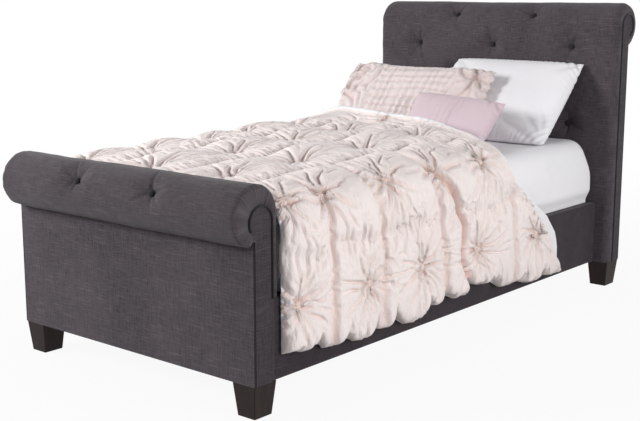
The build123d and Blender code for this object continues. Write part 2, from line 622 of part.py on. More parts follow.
def support_leg(y):
    """A square post under the beam, bored from below for its levelling stud."""
    with BuildPart() as post:
        add(block((-SUPPORT_WIDTH / 2, SUPPORT_WIDTH / 2), (y - SUPPORT_WIDTH / 2, y + SUPPORT_WIDTH / 2),
                  (SUPPORT_GROUND_GAP, BEAM_BASE_Z)))
        with BuildSketch(Plane.XY.offset(SUPPORT_GROUND_GAP)):
            with Locations((0, y)):
                Circle(STUD_DIAMETER / 2 + STUD_CLEARANCE)
        extrude(amount=STUD_LENGTH + STUD_TRAVEL, mode=Mode.SUBTRACT)
    return post.part


def glide(y):
    """The round foot that stands on the floor, with a socket for its stud."""
    with BuildPart() as disc:
        with BuildSketch(Plane.XY):
            with Locations((0, y)):
                Circle(GLIDE_RADIUS)
        extrude(amount=GLIDE_HEIGHT)
        chamfer(disc.edges().group_by(Axis.Z)[-1], GLIDE_CHAMFER)
        with BuildSketch(Plane.XY.offset(GLIDE_HEIGHT)):
            with Locations((0, y)):
                Circle(STUD_DIAMETER / 2 + STUD_CLEARANCE)
        extrude(amount=-STUD_SPIGOT, mode=Mode.SUBTRACT)
    return disc.part


def stud(y):
    """A levelling stud: its hexagon rests on the glide and its shank screws up into the post."""
    with BuildPart() as screw:
        with BuildSketch(Plane.XY.offset(GLIDE_HEIGHT)):
            with Locations((0, y)):
                RegularPolygon(STUD_FLANGE_WIDTH / 2, 6, major_radius=False)
        extrude(amount=STUD_FLANGE_HEIGHT)
        with BuildSketch(Plane.XY.offset(GLIDE_HEIGHT - STUD_SPIGOT)):
            with Locations((0, y)):
                Circle(STUD_DIAMETER / 2)
        extrude(amount=STUD_LENGTH)
    return screw.part


for name, rail_end in (("foot", FOOT_INNER_Y), ("head", HEAD_FACE_Y)):
    support_y = along_rail(rail_end, SUPPORT_FROM_RAIL_END)
    write(support_leg(support_y), f"{name}_support_leg")
    write(glide(support_y), f"{name}_support_glide")
    write(stud(support_y), f"{name}_support_stud")


# Mattress and fitted sheet


def mattress_form(growth):
    """The mattress's rounded block, grown evenly on every side."""
    half_width = MATTRESS_WIDTH / 2 + growth
    half_length = MATTRESS_LENGTH / 2 + growth
    with BuildPart() as form:
        add(block((-half_width, half_width), (MATTRESS_MID_Y - half_length, MATTRESS_MID_Y + half_length),
                  (MATTRESS_BASE_Z - growth, MATTRESS_TOP_Z + growth)))
        fillet(form.edges().filter_by(Axis.Z), MATTRESS_CORNER_RADIUS + growth)
        fillet(form.edges().group_by(Axis.Z)[0] + form.edges().group_by(Axis.Z)[-1], MATTRESS_EDGE_RADIUS + growth)
    return form.part


write(mattress_form(0), "mattress")

with BuildPart() as fitted_sheet:
    add(mattress_form(SOFT_CLEARANCE + SHEET_THICKNESS))
    add(mattress_form(SOFT_CLEARANCE), mode=Mode.SUBTRACT)
    add(block((-MATTRESS_WIDTH, MATTRESS_WIDTH),
              (MATTRESS_MID_Y - MATTRESS_LENGTH, MATTRESS_MID_Y + MATTRESS_LENGTH),
              (0, MATTRESS_BASE_Z + SHEET_HEM_RISE)), mode=Mode.SUBTRACT)
write(fitted_sheet.part, "fitted_sheet")


# Comforter

COMFORTER_FOOT_Y = FOOT_PAD_BACK_Y + COMFORTER_FOOT_GAP
COMFORTER_HEAD_Y = HEAD_FACE_Y - COMFORTER_SHORT_OF_HEAD
COMFORTER_PITCH = (COMFORTER_HEAD_Y - COMFORTER_FOOT_Y) / COMFORTER_ROWS
COMFORTER_INNER_X = RAIL_OUTER_X + COMFORTER_SIDE_GAP
COMFORTER_OUTER_X = COMFORTER_INNER_X + COMFORTER_SIDE_THICKNESS
COMFORTER_CREST_Z = BEDDING_Z + COMFORTER_LOFT_HEAD


def comforter_loft(row):
    """The height of the puffed top along the bed, rising from the foot to the head."""
    return BEDDING_Z + COMFORTER_LOFT_FOOT + (COMFORTER_LOFT_HEAD - COMFORTER_LOFT_FOOT) * row / COMFORTER_ROWS


def comforter_drop(side, head_top_y, head_hem_y):
    """One hanging side: puffed out between its gathered seams, with a slanting head edge."""
    inner_x = side * COMFORTER_INNER_X
    seam_x = side * (COMFORTER_OUTER_X - COMFORTER_PUFF)
    crest_x = side * COMFORTER_OUTER_X
    top_z = BEDDING_Z + COMFORTER_OVERLAP
    low_z = COMFORTER_HEM_Z - COMFORTER_HEAD_HEM_DROP
    last_y = COMFORTER_FOOT_Y + (COMFORTER_ROWS + 1) * COMFORTER_PITCH
    with BuildPart() as drop:
        with BuildSketch(Plane.XY.offset(low_z)):
            with BuildLine():
                for row in range(COMFORTER_ROWS + 1):
                    start = COMFORTER_FOOT_Y + row * COMFORTER_PITCH
                    ThreePointArc((seam_x, start), (crest_x, start + COMFORTER_PITCH / 2),
                                  (seam_x, start + COMFORTER_PITCH))
                Polyline((seam_x, last_y), (inner_x, last_y), (inner_x, COMFORTER_FOOT_Y),
                         (seam_x, COMFORTER_FOOT_Y))
            make_face()
        extrude(amount=top_z - low_z)
        with BuildSketch(Plane.YZ.offset(-COMFORTER_OUTER_X - COMFORTER_MARGIN)):
            with BuildLine():
                Polyline((COMFORTER_FOOT_Y, COMFORTER_HEM_Z), (head_hem_y, low_z), (head_top_y, top_z),
                         (COMFORTER_FOOT_Y, top_z), close=True)
            make_face()
        extrude(amount=2 * (COMFORTER_OUTER_X + COMFORTER_MARGIN), mode=Mode.INTERSECT)
    return drop.part


with BuildPart() as comforter:
    with BuildSketch(Plane.YZ.offset(-COMFORTER_OUTER_X)):
        with BuildLine():
            for row in range(COMFORTER_ROWS):
                start_y = COMFORTER_FOOT_Y + row * COMFORTER_PITCH
                ThreePointArc((start_y, comforter_loft(row) - COMFORTER_PUFF),
                              (start_y + COMFORTER_PITCH / 2, comforter_loft(row + 0.5)),
                              (start_y + COMFORTER_PITCH, comforter_loft(row + 1) - COMFORTER_PUFF))
            Polyline((COMFORTER_HEAD_Y, comforter_loft(COMFORTER_ROWS) - COMFORTER_PUFF),
                     (COMFORTER_HEAD_Y, BEDDING_Z), (COMFORTER_FOOT_Y, BEDDING_Z),
                     (COMFORTER_FOOT_Y, comforter_loft(0) - COMFORTER_PUFF))
        make_face()
    extrude(amount=2 * COMFORTER_OUTER_X)
    with BuildSketch(Plane.XY.offset(BEDDING_Z)):
        with BuildLine():
            near_edge_y = COMFORTER_HEAD_Y - COMFORTER_TURN_BACK
            turn_start_x = COMFORTER_INNER_X - COMFORTER_TURN_BACK_WIDTH
            past_x = COMFORTER_OUTER_X + COMFORTER_MARGIN
            past_y = COMFORTER_HEAD_Y + COMFORTER_MARGIN
            Polyline((turn_start_x, past_y), (turn_start_x, COMFORTER_HEAD_Y), (COMFORTER_INNER_X, near_edge_y),
                     (past_x, near_edge_y), (past_x, past_y), close=True)
        make_face()
    extrude(amount=2 * COMFORTER_LOFT_HEAD, mode=Mode.SUBTRACT)
    add(comforter_drop(1, near_edge_y, near_edge_y + COMFORTER_NEAR_SWING))
    add(comforter_drop(-1, COMFORTER_HEAD_Y, COMFORTER_HEAD_Y + COMFORTER_FAR_SWING))
    with BuildSketch(Plane.XZ):
        with BuildLine():
            side_x = COMFORTER_OUTER_X + COMFORTER_MARGIN
            FilletPolyline((side_x, 0), (side_x, COMFORTER_CREST_Z), (-side_x, COMFORTER_CREST_Z), (-side_x, 0),
                           radius=COMFORTER_SHOULDER_RADIUS)
            Line((-side_x, 0), (side_x, 0))
        make_face()
    extrude(amount=BED_LENGTH, both=True, mode=Mode.INTERSECT)
write(comforter.part, "comforter")


# Pillows


def pillow(form):
    """A stuffed pillow leaning back towards the headboard, crowned and drawn in along its seams."""
    lean = radians(form["lean"])
    up_slant = Vector(0, cos(lean), sin(lean))
    seam_drop = PILLOW_SEAM * cos(lean)
    half_height = form["height"] / 2
    bottom = Vector(form["across"], HEAD_FACE_Y - form["from_head"], BEDDING_Z + seam_drop)
    with BuildPart() as cushion:
        for station in PILLOW_STATIONS:
            fullness = sqrt(1 - station ** 2)
            reach = half_height * (1 - PILLOW_DRAW_IN * fullness)
            crown = PILLOW_SEAM + PILLOW_CROWN_EDGE + (form["thickness"] / 2 - PILLOW_SEAM) * fullness
            middle = bottom + up_slant * half_height + Vector(station * form["width"] / 2, 0, 0)
            with BuildSketch(Plane(origin=middle, x_dir=up_slant, z_dir=(1, 0, 0))):
                with BuildLine():
                    ThreePointArc((-reach, PILLOW_SEAM), (0, crown), (reach, PILLOW_SEAM))
                    Line((reach, PILLOW_SEAM), (reach, -PILLOW_SEAM))
                    ThreePointArc((reach, -PILLOW_SEAM), (0, -crown), (-reach, -PILLOW_SEAM))
                    Line((-reach, -PILLOW_SEAM), (-reach, PILLOW_SEAM))
                make_face()
        loft()
    return cushion.part


write(pillow(WHITE_PILLOW), "white_pillow")
write(pillow(SHAM), "ruched_sham")
write(pillow(ACCENT_PILLOW), "accent_pillow")
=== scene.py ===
import json
from math import cos, pi, radians, sin
import bpy
import numpy as np
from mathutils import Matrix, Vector


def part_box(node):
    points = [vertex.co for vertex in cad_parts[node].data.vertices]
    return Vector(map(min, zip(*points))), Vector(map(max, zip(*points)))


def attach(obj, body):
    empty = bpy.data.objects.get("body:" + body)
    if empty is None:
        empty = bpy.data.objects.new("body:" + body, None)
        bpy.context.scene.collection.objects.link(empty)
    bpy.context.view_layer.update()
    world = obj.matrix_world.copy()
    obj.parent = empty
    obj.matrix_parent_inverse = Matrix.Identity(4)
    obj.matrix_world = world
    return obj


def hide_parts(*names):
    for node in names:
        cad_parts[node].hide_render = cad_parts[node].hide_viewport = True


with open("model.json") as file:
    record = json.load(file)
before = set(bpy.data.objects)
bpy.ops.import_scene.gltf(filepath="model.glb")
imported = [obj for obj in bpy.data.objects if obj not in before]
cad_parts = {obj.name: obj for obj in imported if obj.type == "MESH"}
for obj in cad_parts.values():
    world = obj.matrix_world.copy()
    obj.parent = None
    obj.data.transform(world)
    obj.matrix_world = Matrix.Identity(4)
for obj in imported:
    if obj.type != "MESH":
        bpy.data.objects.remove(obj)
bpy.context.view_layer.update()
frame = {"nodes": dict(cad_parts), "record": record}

# An upholstered twin sleigh bed with its bedding. Metres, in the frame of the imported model:
# X across the bed, Y from foot to head, Z up.

SEED = 7
MM = 0.001
WHITE = (1, 1, 1, 1)


def spread(node):
    """A node's lowest and highest corners as arrays."""
    low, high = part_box(node)
    return np.array(low), np.array(high)


MATTRESS_LOW, MATTRESS_HIGH = spread("mattress")
SHEET_LOW, SHEET_HIGH = spread("fitted_sheet")


def add_object(name, data):
    thing = bpy.data.objects.new(name, data)
    bpy.context.scene.collection.objects.link(thing)
    return thing


class Graph:
    """A node tree that starts empty, and short calls for the nodes that the scene uses."""

    def __init__(self, owner, output):
        owner.use_nodes = True
        self.tree = owner.node_tree
        self.tree.nodes.clear()
        self.end = self.tree.nodes.new(output).inputs["Surface"]

    def put(self, socket, value):
        """Link a node's output to a socket, or set a plain value on it."""
        if isinstance(value, bpy.types.NodeSocket):
            self.tree.links.new(value, socket)
        else:
            socket.default_value = value

    def made(self, kind, inputs, output=0, **settings):
        """One output of a new node, with its settings made and its inputs filled by name or number."""
        node = self.tree.nodes.new("ShaderNode" + kind)
        for name, value in settings.items():
            setattr(node, name, value)
        for socket, value in inputs.items():
            self.put(node.inputs[socket], value)
        return node.outputs[output]

    def place(self):
        return self.made("TexCoord", {}, "Object")

    def math(self, operation, a, b):
        return self.made("Math", {0: a, 1: b}, operation=operation)

    def fit(self, value, low, high, new_low=0.0, new_high=1.0):
        return self.made("MapRange", {0: value, 1: low, 2: high, 3: new_low, 4: new_high})

    def seen_directly(self):
        """One for a ray from the camera, a mirror or glass, and zero for light that falls on surfaces."""
        path = self.tree.nodes.new("ShaderNodeLightPath")
        total = path.outputs["Is Camera Ray"]
        for name in ("Is Glossy Ray", "Is Transmission Ray"):
            total = self.math("MAXIMUM", total, path.outputs[name])
        return total


# Camera, floor and light

CAMERA_PLACE = (2.6645, -3.3181, 1.1974)
CAMERA_YAW = 40.155
CAMERA_PITCH = 10.762
CAMERA_LENS = 65.0
CAMERA_SENSOR = 36.0
CAMERA_REACH = 100.0
FLOOR_RADIUS = 14.0
FLOOR_SEGMENTS = 96
FLOOR_FADE = (1.2, 4.5)
FLOOR_SHINE = (0.93, 1.0)
FLOOR_GREY = (0.55, 0.55, 0.55, 1)
AMBIENT = 0.27
AMBIENT_TINT = (0.97, 0.985, 1, 1)
# Each lamp's name, place, aim, size and power
LAMPS = (
    ("key", (-2.9, -3.9, 2.5), (0, 0, 0.5), 1.5, 200),
    ("fill", (4.5, -0.6, 1.7), (0, 0, 0.5), 2.4, 118),
    ("left", (-3.6, -0.3, 1.5), (0.1, 0.97, 0.9), 0.7, 34),
    ("back", (0.8, 5.0, 1.8), (0, 0.9, 0.6), 2.6, 36),
)


def add_camera():
    data = bpy.data.cameras.new("camera")
    data.lens = CAMERA_LENS
    data.sensor_width = CAMERA_SENSOR
    data.sensor_fit = "HORIZONTAL"
    data.clip_end = CAMERA_REACH
    camera = add_object("camera", data)
    camera.location = CAMERA_PLACE
    camera.rotation_euler = (radians(90 - CAMERA_PITCH), 0, radians(CAMERA_YAW))
    bpy.context.scene.camera = camera


def add_world():
    """Faint light from all round, and a white backdrop where the world is seen."""
    world = bpy.data.worlds.new("studio")
    bpy.context.scene.world = world
    graph = Graph(world, "ShaderNodeOutputWorld")
    ambient = graph.made("Background", {"Color": AMBIENT_TINT, "Strength": AMBIENT})
    backdrop = graph.made("Background", {"Color": WHITE, "Strength": 1.0})
    graph.put(graph.end, graph.made("MixShader", {0: graph.seen_directly(), 1: ambient, 2: backdrop}))


def add_floor():
    """A pale floor: seen directly it is nearly white, with the bed's shadow on it."""
    material = bpy.data.materials.new("pale_floor")
    graph = Graph(material, "ShaderNodeOutputMaterial")
    matt = graph.made("BsdfDiffuse", {"Color": FLOOR_GREY})
    shine = graph.made("Emission", {"Color": WHITE})
    away = graph.made("VectorMath", {0: graph.place()}, "Value", operation="LENGTH")
    share = graph.math("MULTIPLY", graph.fit(away, *FLOOR_FADE, *FLOOR_SHINE), graph.seen_directly())
    graph.put(graph.end, graph.made("MixShader", {0: share, 1: matt, 2: shine}))
    angles = np.linspace(0, 2 * pi, FLOOR_SEGMENTS, endpoint=False)
    rim = [(FLOOR_RADIUS * cos(a), FLOOR_RADIUS * sin(a), 0) for a in angles]
    mesh = bpy.data.meshes.new("floor")
    mesh.from_pydata(rim, [], [list(range(FLOOR_SEGMENTS))])
    mesh.materials.append(material)
    floor = add_object("floor", mesh)


def add_light(name, place, aim, size, power):
    data = bpy.data.lights.new(name, "AREA")
    data.shape = "DISK"
    data.size = size
    data.energy = power
    light = add_object(name, data)
    light.location = place
    direction = Vector(aim) - light.location
    light.rotation_euler = direction.to_track_quat("-Z", "Y").to_euler()


# Meshes


def quads(index, flip=False):
    """Quads over a grid of point numbers, facing the other way if flipped."""
    corners = [index[:-1, :-1], index[:-1, 1:], index[1:, 1:], index[1:, :-1]]
    if flip:
        corners[1], corners[3] = corners[3], corners[1]
    return np.stack(corners, axis=-1).reshape(-1, 4).tolist()


def numbered(shape, first=0):
    """The numbers of a grid's points, row by row."""
    return first + np.arange(shape[0] * shape[1]).reshape(shape[:2])


def ring_faces(shape, first=0):
    """Quads over a grid of points whose rows are closed rings."""
    index = numbered(shape, first)
    return quads(np.concatenate([index, index[:, :1]], axis=1))


def tube_faces(shape):
    """Quads round a closed tube of points, and a cap on each end."""
    index = numbered(shape)
    return ring_faces(shape) + [index[0].tolist(), index[-1, ::-1].tolist()]


def add_piece(name, points, faces, materials, body, slot, face_materials=None, **marks):
    """A smooth mesh object on a body.

    Materials read a point's marks: weave is its flat place on its cloth, knot the way to it from the nearest
    gathered knot, gather how strongly that knot draws it, and fold how much painted shade it takes, from how
    deep it lies in a fold.
    """
    mesh = bpy.data.meshes.new(name)
    mesh.from_pydata(np.asarray(points, float).reshape(-1, 3).tolist(), [], faces)
    for material in materials:
        mesh.materials.append(material)
    mesh.polygons.foreach_set("use_smooth", np.ones(len(mesh.polygons), bool))
    if face_materials is not None:
        mesh.polygons.foreach_set("material_index", np.asarray(face_materials, np.int32))
    for label, values in marks.items():
        values = np.asarray(values, np.float32)
        if label in ("weave", "knot"):
            flat = np.zeros((len(mesh.vertices), 3), np.float32)
            flat[:, :2] = values.reshape(-1, 2)
            mesh.attributes.new(label, "FLOAT_VECTOR", "POINT").data.foreach_set("vector", flat.ravel())
        else:
            mesh.attributes.new(label, "FLOAT", "POINT").data.foreach_set("value", values.ravel())
    mesh.update()
    piece = add_object(name, mesh)
    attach(piece, body)
    return piece


def smooth_step(value, low, high):
    t = np.clip((np.asarray(value, float) - low) / (high - low), 0, 1)
    return t * t * (3 - 2 * t)


def rise_and_fall(value, rising, falling):
    """From zero to one over one span, and back to zero over a later one."""
    return smooth_step(value, *rising) * (1 - smooth_step(value, *falling))


def along_line(a, b, run):
    """How far along a run each place is, and how far aside of it, both times the run's length."""
    return a * run[0] + b * run[1], b * run[0] - a * run[1]


def bell(distance, width, power=2):
    """One at no distance, falling off over a width."""
    return np.exp(-(distance / width) ** power)


def soft_noise(shape, cells, rng):
    """Smooth seeded noise between -1 and 1 on a grid, with about so many cells each way."""
    field = rng.uniform(-1, 1, (cells[0] + 3, cells[1] + 3))
    for steps, count in zip(shape[::-1], cells[::-1]):
        place = np.linspace(0, count, steps)
        cell = place.astype(int)
        share = smooth_step(place - cell, 0, 1)[:, None]
        field = field.T[cell] * (1 - share) + field.T[cell + 1] * share
    return field


def layered_noise(shape, layers, rng):
    """Soft noises on one grid, each with its own height and cells, added up."""
    return sum(height * soft_noise(shape, cells, rng) for height, cells in layers)


# Materials


class Shader(Graph):
    """A material with one principled shader."""

    def __init__(self, name, roughness, **constants):
        self.material = bpy.data.materials.new(name)
        super().__init__(self.material, "ShaderNodeOutputMaterial")
        self.surface = self.tree.nodes.new("ShaderNodeBsdfPrincipled")
        self.put(self.end, self.surface.outputs[0])
        self.surface.inputs["Roughness"].default_value = roughness
        for socket, value in constants.items():
            self.surface.inputs[socket.replace("_", " ")].default_value = value

    def attribute(self, name, output="Fac"):
        return self.made("Attribute", {}, output, attribute_name=name)

    def mapping(self, vector, scale, turn=(0, 0, 0)):
        return self.made("Mapping", {"Vector": vector, "Scale": scale, "Rotation": turn})

    def noise(self, vector, cells, detail=1.0, roughness=0.5, distortion=0.0):
        """Noise with so many cells to the metre: one number for every axis, or a number for each."""
        if not isinstance(cells, float):
            vector, cells = self.mapping(vector, cells), 1.0
        inputs = {"Vector": vector, "Scale": cells, "Detail": detail, "Roughness": roughness,
                  "Distortion": distortion}
        return self.made("TexNoise", inputs, "Fac")

    def total(self, *parts):
        """The sum of some values, each with its weight."""
        whole = None
        for value, weight in parts:
            part = value if weight == 1 else self.math("MULTIPLY", value, weight)
            whole = part if whole is None else self.math("ADD", whole, part)
        return whole

    def finished(self, share, first, second, height, strength, distance):
        """The material, coloured from first to second by share, with its surface raised by height."""
        colour = self.made("Mix", {0: share, 6: first, 7: second}, 2, data_type="RGBA")
        self.put(self.surface.inputs["Base Color"], colour)
        bump = self.made("Bump", {"Strength": strength, "Distance": distance, "Height": height})
        self.put(self.surface.inputs["Normal"], bump)
        return self.material


def tone(red, green, blue):
    """A colour as seen on a screen, 0 to 255, as the shader's linear values."""
    return tuple(((c / 255 + 0.055) / 1.055) ** 2.4 for c in (red, green, blue)) + (1,)


def on_weave(shader):
    """The flat place on the cloth, stood up so that its length runs along Z as on the upright faces."""
    return shader.mapping(shader.attribute("weave", "Vector"), (1, 1, 1), (radians(90), 0, 0))


def linen(name, place, dark, light):
    """Slubby plain-weave linen: uneven threads both ways, mottled, with a fine raised weave."""
    shader = Shader(name, 0.92, Sheen_Weight=0.12, Sheen_Roughness=0.5, Specular_IOR_Level=0.25)
    vector = place(shader)
    weft = shader.noise(vector, (30, 30, 540), 3.0, 0.6)
    warp = shader.noise(vector, (450, 450, 25), 3.0, 0.6)
    slub = shader.fit(shader.noise(vector, (12, 12, 280), 1.0, 0.4), 0.55, 0.8, 0.0, 0.45)
    cloud = shader.fit(shader.noise(vector, 5.0, 2.0), 0.3, 0.7, -0.1, 0.1)
    threads = shader.total((weft, 0.5), (warp, 0.5))
    share = shader.total((shader.fit(threads, 0.34, 0.66, 0.0, 0.75), 1), (slub, 1), (cloud, 1))
    fine_weft = shader.noise(vector, (160, 160, 1500))
    fine_warp = shader.noise(vector, (1500, 1500, 160))
    height = shader.total((threads, 1), (shader.math("ADD", fine_weft, fine_warp), 0.35))
    return shader.finished(share, dark, light, height, 0.55, 0.0016)


def cotton(name, pale, painted_shade_tone, sheen, roughness, weave_scale, crease):
    """Woven cotton or sateen: warmer, darker painted shade in its folds, a fine weave and soft creases."""
    shader = Shader(name, roughness, Sheen_Weight=sheen, Sheen_Roughness=0.4, Specular_IOR_Level=0.3)
    vector = shader.place()
    cloud = shader.fit(shader.noise(vector, 9.0, 2.0), 0.35, 0.75, -0.04, 0.10)
    # The fold mark and a faint mottling move the colour toward the painted-shade tone.
    share = shader.fit(shader.math("ADD", shader.attribute("fold"), cloud), 0.0, 1.0)
    weave = shader.noise(vector, (weave_scale, weave_scale, weave_scale * 1.3), 2.0, 0.6)
    creases = shader.noise(vector, 55.0, 3.0, 0.6, 0.6)
    return shader.finished(share, pale, painted_shade_tone, shader.total((weave, 0.12), (creases, crease)), 0.5, 0.004)


def ruched_cotton(name, pale, painted_shade_tone):
    """Thin cotton gathered into knots: fine pleats that run into every knot, and parallel ones in between."""
    shader = Shader(name, 0.85, Sheen_Weight=0.15, Sheen_Roughness=0.4, Specular_IOR_Level=0.3)
    knot = shader.attribute("knot", "Vector")
    weave = shader.attribute("weave", "Vector")
    near = shader.attribute("gather")
    heading = shader.made("VectorMath", {0: knot}, "Vector", operation="NORMALIZE")
    wider = shader.mapping(knot, (10, 10, 10))
    round_knot = shader.made("VectorMath", {0: heading, 1: (4.6, 4.6, 4.6), 2: wider}, "Vector",
                             operation="MULTIPLY_ADD")
    rays = shader.noise(round_knot, 1.0, 3.0, 0.6)
    pleats = shader.noise(weave, (11, 62, 1), 2.0, 0.6, 0.4)
    crinkle = shader.noise(weave, (48, 150, 1), 2.0, 0.6, 0.5)
    height = shader.total((shader.math("MULTIPLY", rays, near), 1.6), (pleats, 0.75), (crinkle, 0.3))
    # Painted shade in the hollows between the pleat rays near each knot, and from the fold mark.
    hollow = shader.math("MULTIPLY", shader.fit(rays, 0.5, 0.34, 0.0, 0.42), near)
    share = shader.fit(shader.math("ADD", shader.attribute("fold"), hollow), 0.0, 1.0)
    return shader.finished(share, pale, painted_shade_tone, height, 0.9, 0.009)


def wood(name, dark, light, along, roughness):
    """Wood with its grain along one axis: streaks, pores and slow bands of colour."""
    shader = Shader(name, roughness, Specular_IOR_Level=0.2)
    vector = shader.place()

    def grain(across, lengthwise, *character):
        stretch = [across] * 3
        stretch[along] = lengthwise
        return shader.noise(vector, stretch, *character)

    streak = grain(90.0, 3.5, 4.0, 0.6, 0.4)
    bands = grain(14.0, 0.9, 2.0, 0.5, 1.2)
    pores = grain(420.0, 14.0)
    share = shader.fit(shader.total((streak, 0.6), (bands, 0.4)), 0.3, 0.7)
    share = shader.math("SUBTRACT", share, shader.fit(pores, 0.62, 0.75, 0.0, 0.3))
    return shader.finished(share, dark, light, shader.total((streak, 1), (pores, 0.5)), 0.18, 0.001)


def steel(name):
    """Zinc-plated steel with faint brushing and a mottled bloom."""
    shader = Shader(name, 0.38, Metallic=1.0)
    vector = shader.place()
    brushed = shader.noise(vector, (60, 60, 900), 2.0, 0.6)
    bloom = shader.fit(shader.noise(vector, 45.0, 3.0, 0.6), 0.3, 0.7)
    shader.put(shader.surface.inputs["Roughness"], shader.fit(brushed, 0.3, 0.7, 0.3, 0.48))
    return shader.finished(bloom, tone(165, 168, 172), tone(196, 198, 200), brushed, 0.12, 0.0004)


def moulded(name):
    """Black moulded plastic with a fine spark texture."""
    shader = Shader(name, 0.55)
    grain = shader.noise(shader.place(), 900.0, 2.0)
    share = shader.fit(grain, 0.3, 0.7)
    return shader.finished(share, tone(22, 22, 23), tone(34, 34, 36), grain, 0.25, 0.0004)


def paper_tube(name):
    """Spiral-wound card with its winding lines."""
    shader = Shader(name, 0.85)
    vector = shader.place()
    winding = shader.noise(vector, (16, 3, 3), 2.0)
    pulp = shader.noise(vector, 240.0, 3.0, 0.6)
    share = shader.fit(shader.total((winding, 0.6), (pulp, 0.4)), 0.35, 0.65)
    return shader.finished(share, tone(168, 140, 108), tone(198, 172, 138), pulp, 0.2, 0.0005)


def strap_weave(name):
    """Black webbing with its ribbed weave across and a paler line along."""
    shader = Shader(name, 0.8, Sheen_Weight=0.1)
    vector = shader.place()
    rib = shader.noise(vector, (40, 700, 40))
    line = shader.noise(vector, (500, 6, 40))
    share = shader.fit(shader.total((rib, 0.6), (line, 0.4)), 0.3, 0.7)
    return shader.finished(share, tone(38, 38, 40), tone(72, 72, 76), rib, 0.5, 0.0008)


LINEN_TONES = (tone(43, 38, 42), tone(99, 91, 96))
linen_cloth = linen("charcoal_linen", on_weave, *LINEN_TONES)
linen_board = linen("charcoal_linen_board", Shader.place, *LINEN_TONES)
# Darker copy of the charcoal linen for the side rails: painted shade on their outer faces.
linen_painted_shade_rail = linen("charcoal_linen_rail", on_weave, tone(29, 24, 28), tone(66, 57, 63))
# Darker copy for the end panels and the headboard's welts: painted shade on the sides turned from the light.
linen_painted_shade_end = linen("charcoal_linen_end", Shader.place, tone(36, 32, 35), tone(78, 71, 76))
# Darkest copy for the buttons and welts: painted shade in the tuft pits and along the seams.
linen_painted_shade_welt = linen("charcoal_linen_welt", Shader.place, tone(24, 21, 23), tone(46, 42, 45))
# Parts, by the end of their name, that take a darker painted-shade copy of the linen
LINEN_PAINTED_SHADE_BY_PART = {"_welt": linen_painted_shade_welt, "_buttons": linen_painted_shade_welt, "_end_panel": linen_painted_shade_end,
                 "headboard_left_welt": linen_painted_shade_end, "headboard_right_welt": linen_painted_shade_end}
# The sham's copy of the blush cotton is darker: painted shade on the same cloth.
sham_blush_painted_shade = ruched_cotton("blush_cotton_sham_painted_shade", tone(229, 217, 215), tone(218, 186, 177))
# Each cotton's second tone is painted shade, taken in its folds.
blush = ruched_cotton("blush_cotton", tone(244, 233, 230), tone(225, 192, 181))
white = cotton("white_cotton", tone(243, 241, 244), tone(216, 215, 221), 0.1, 0.8, 900.0, 0.05)
ticking = cotton("mattress_ticking", tone(232, 231, 230), tone(198, 197, 198), 0.1, 0.85, 500.0, 0.1)
sateen = cotton("pink_sateen", tone(216, 196, 203), tone(200, 173, 183), 0.25, 0.55, 900.0, 0.06)
TIMBER_ALONG = [wood("frame_timber" + ending, tone(172, 138, 98), tone(206, 172, 130), along, 0.7)
                for along, ending in enumerate(("", "_long", "_post"))]
SLOT_MATERIALS = {
    "charcoal_linen": linen_board,
    "espresso_wood": wood("espresso_wood", tone(17, 11, 10), tone(42, 30, 28), 2, 0.55),
    "frame_timber": TIMBER_ALONG[0],
    "slat_pine": wood("slat_pine", tone(196, 160, 112), tone(226, 196, 150), 0, 0.65),
    "roll_tube": paper_tube("roll_tube"),
    "zinc_steel": steel("zinc_steel"),
    "glide_plastic": moulded("glide_plastic"),
    "webbing": strap_weave("webbing"),
}


def dress_nodes():
    """Give every CAD node its finish, with timber's grain along its longest side."""
    for row in frame["record"]["subparts"]:
        node, slot = row["node"], row["material_slot"]
        if slot not in SLOT_MATERIALS:
            continue
        finish = SLOT_MATERIALS[slot]
        # Welts, buttons and end panels take a darker linen copy: painted shade
        for ending, cloth in LINEN_PAINTED_SHADE_BY_PART.items():
            if node.endswith(ending):
                finish = cloth
        if slot == "frame_timber":
            low, high = spread(node)
            finish = TIMBER_ALONG[int(np.argmax(high - low))]
        slots = frame["nodes"][node].data.materials
        slots.clear()
        slots.append(finish)


# Upholstered headboard and footboard

PAD_STEP = 4.5 * MM
HEAD_EDGE_RADIUS = 26 * MM
FOOT_EDGE_RADIUS = 14 * MM
PAD_EDGE_STEPS = 5
PAD_EDGE_MOST = 0.98
PAD_EDGE_HELD = 6 * MM
PAD_BACK_INSET = 0.2 * MM
PAD_UNEVEN = ((1.6 * MM, (9, 9)), (0.7 * MM, (30, 26)))
PAD_SWELL = 1.5 * MM
PUCKER_DEPTH = 1.6 * MM
PUCKER_REACH = 45 * MM
PUCKER_CELLS = (46, 2)
ROLL_RADIUS = 90 * MM
CORE_RADIUS = 46 * MM
HEAD_SWEEP = radians(258)
FOOT_SWEEP = radians(254)
TUFT_DEPTH = 29 * MM
BUTTON_SEAT = 9 * MM
TUFT_REACH = 88 * MM
TUFT_SWEEP = 1.9
HEAD_TUFT_X = 377 * MM
HEAD_TUFT_ROWS_Z = (972 * MM, 816.5 * MM, 661 * MM)
HEAD_ROLL_TUFT_ANGLE = 32
FOOT_TUFT_X = 170 * MM
FOOT_TUFT_ANGLE = 30
CREASE_COUNT = 6
CREASE_STRAY = 0.35
CREASE_REACH_MM = (60, 125)
CREASE_FROM = (4 * MM, 16 * MM)
CREASE_FADES_AT = 0.25
CREASE_DEPTH = 6.5 * MM
CREASE_SHARES = (0.5, 1)
CREASE_WIDTH = 6 * MM


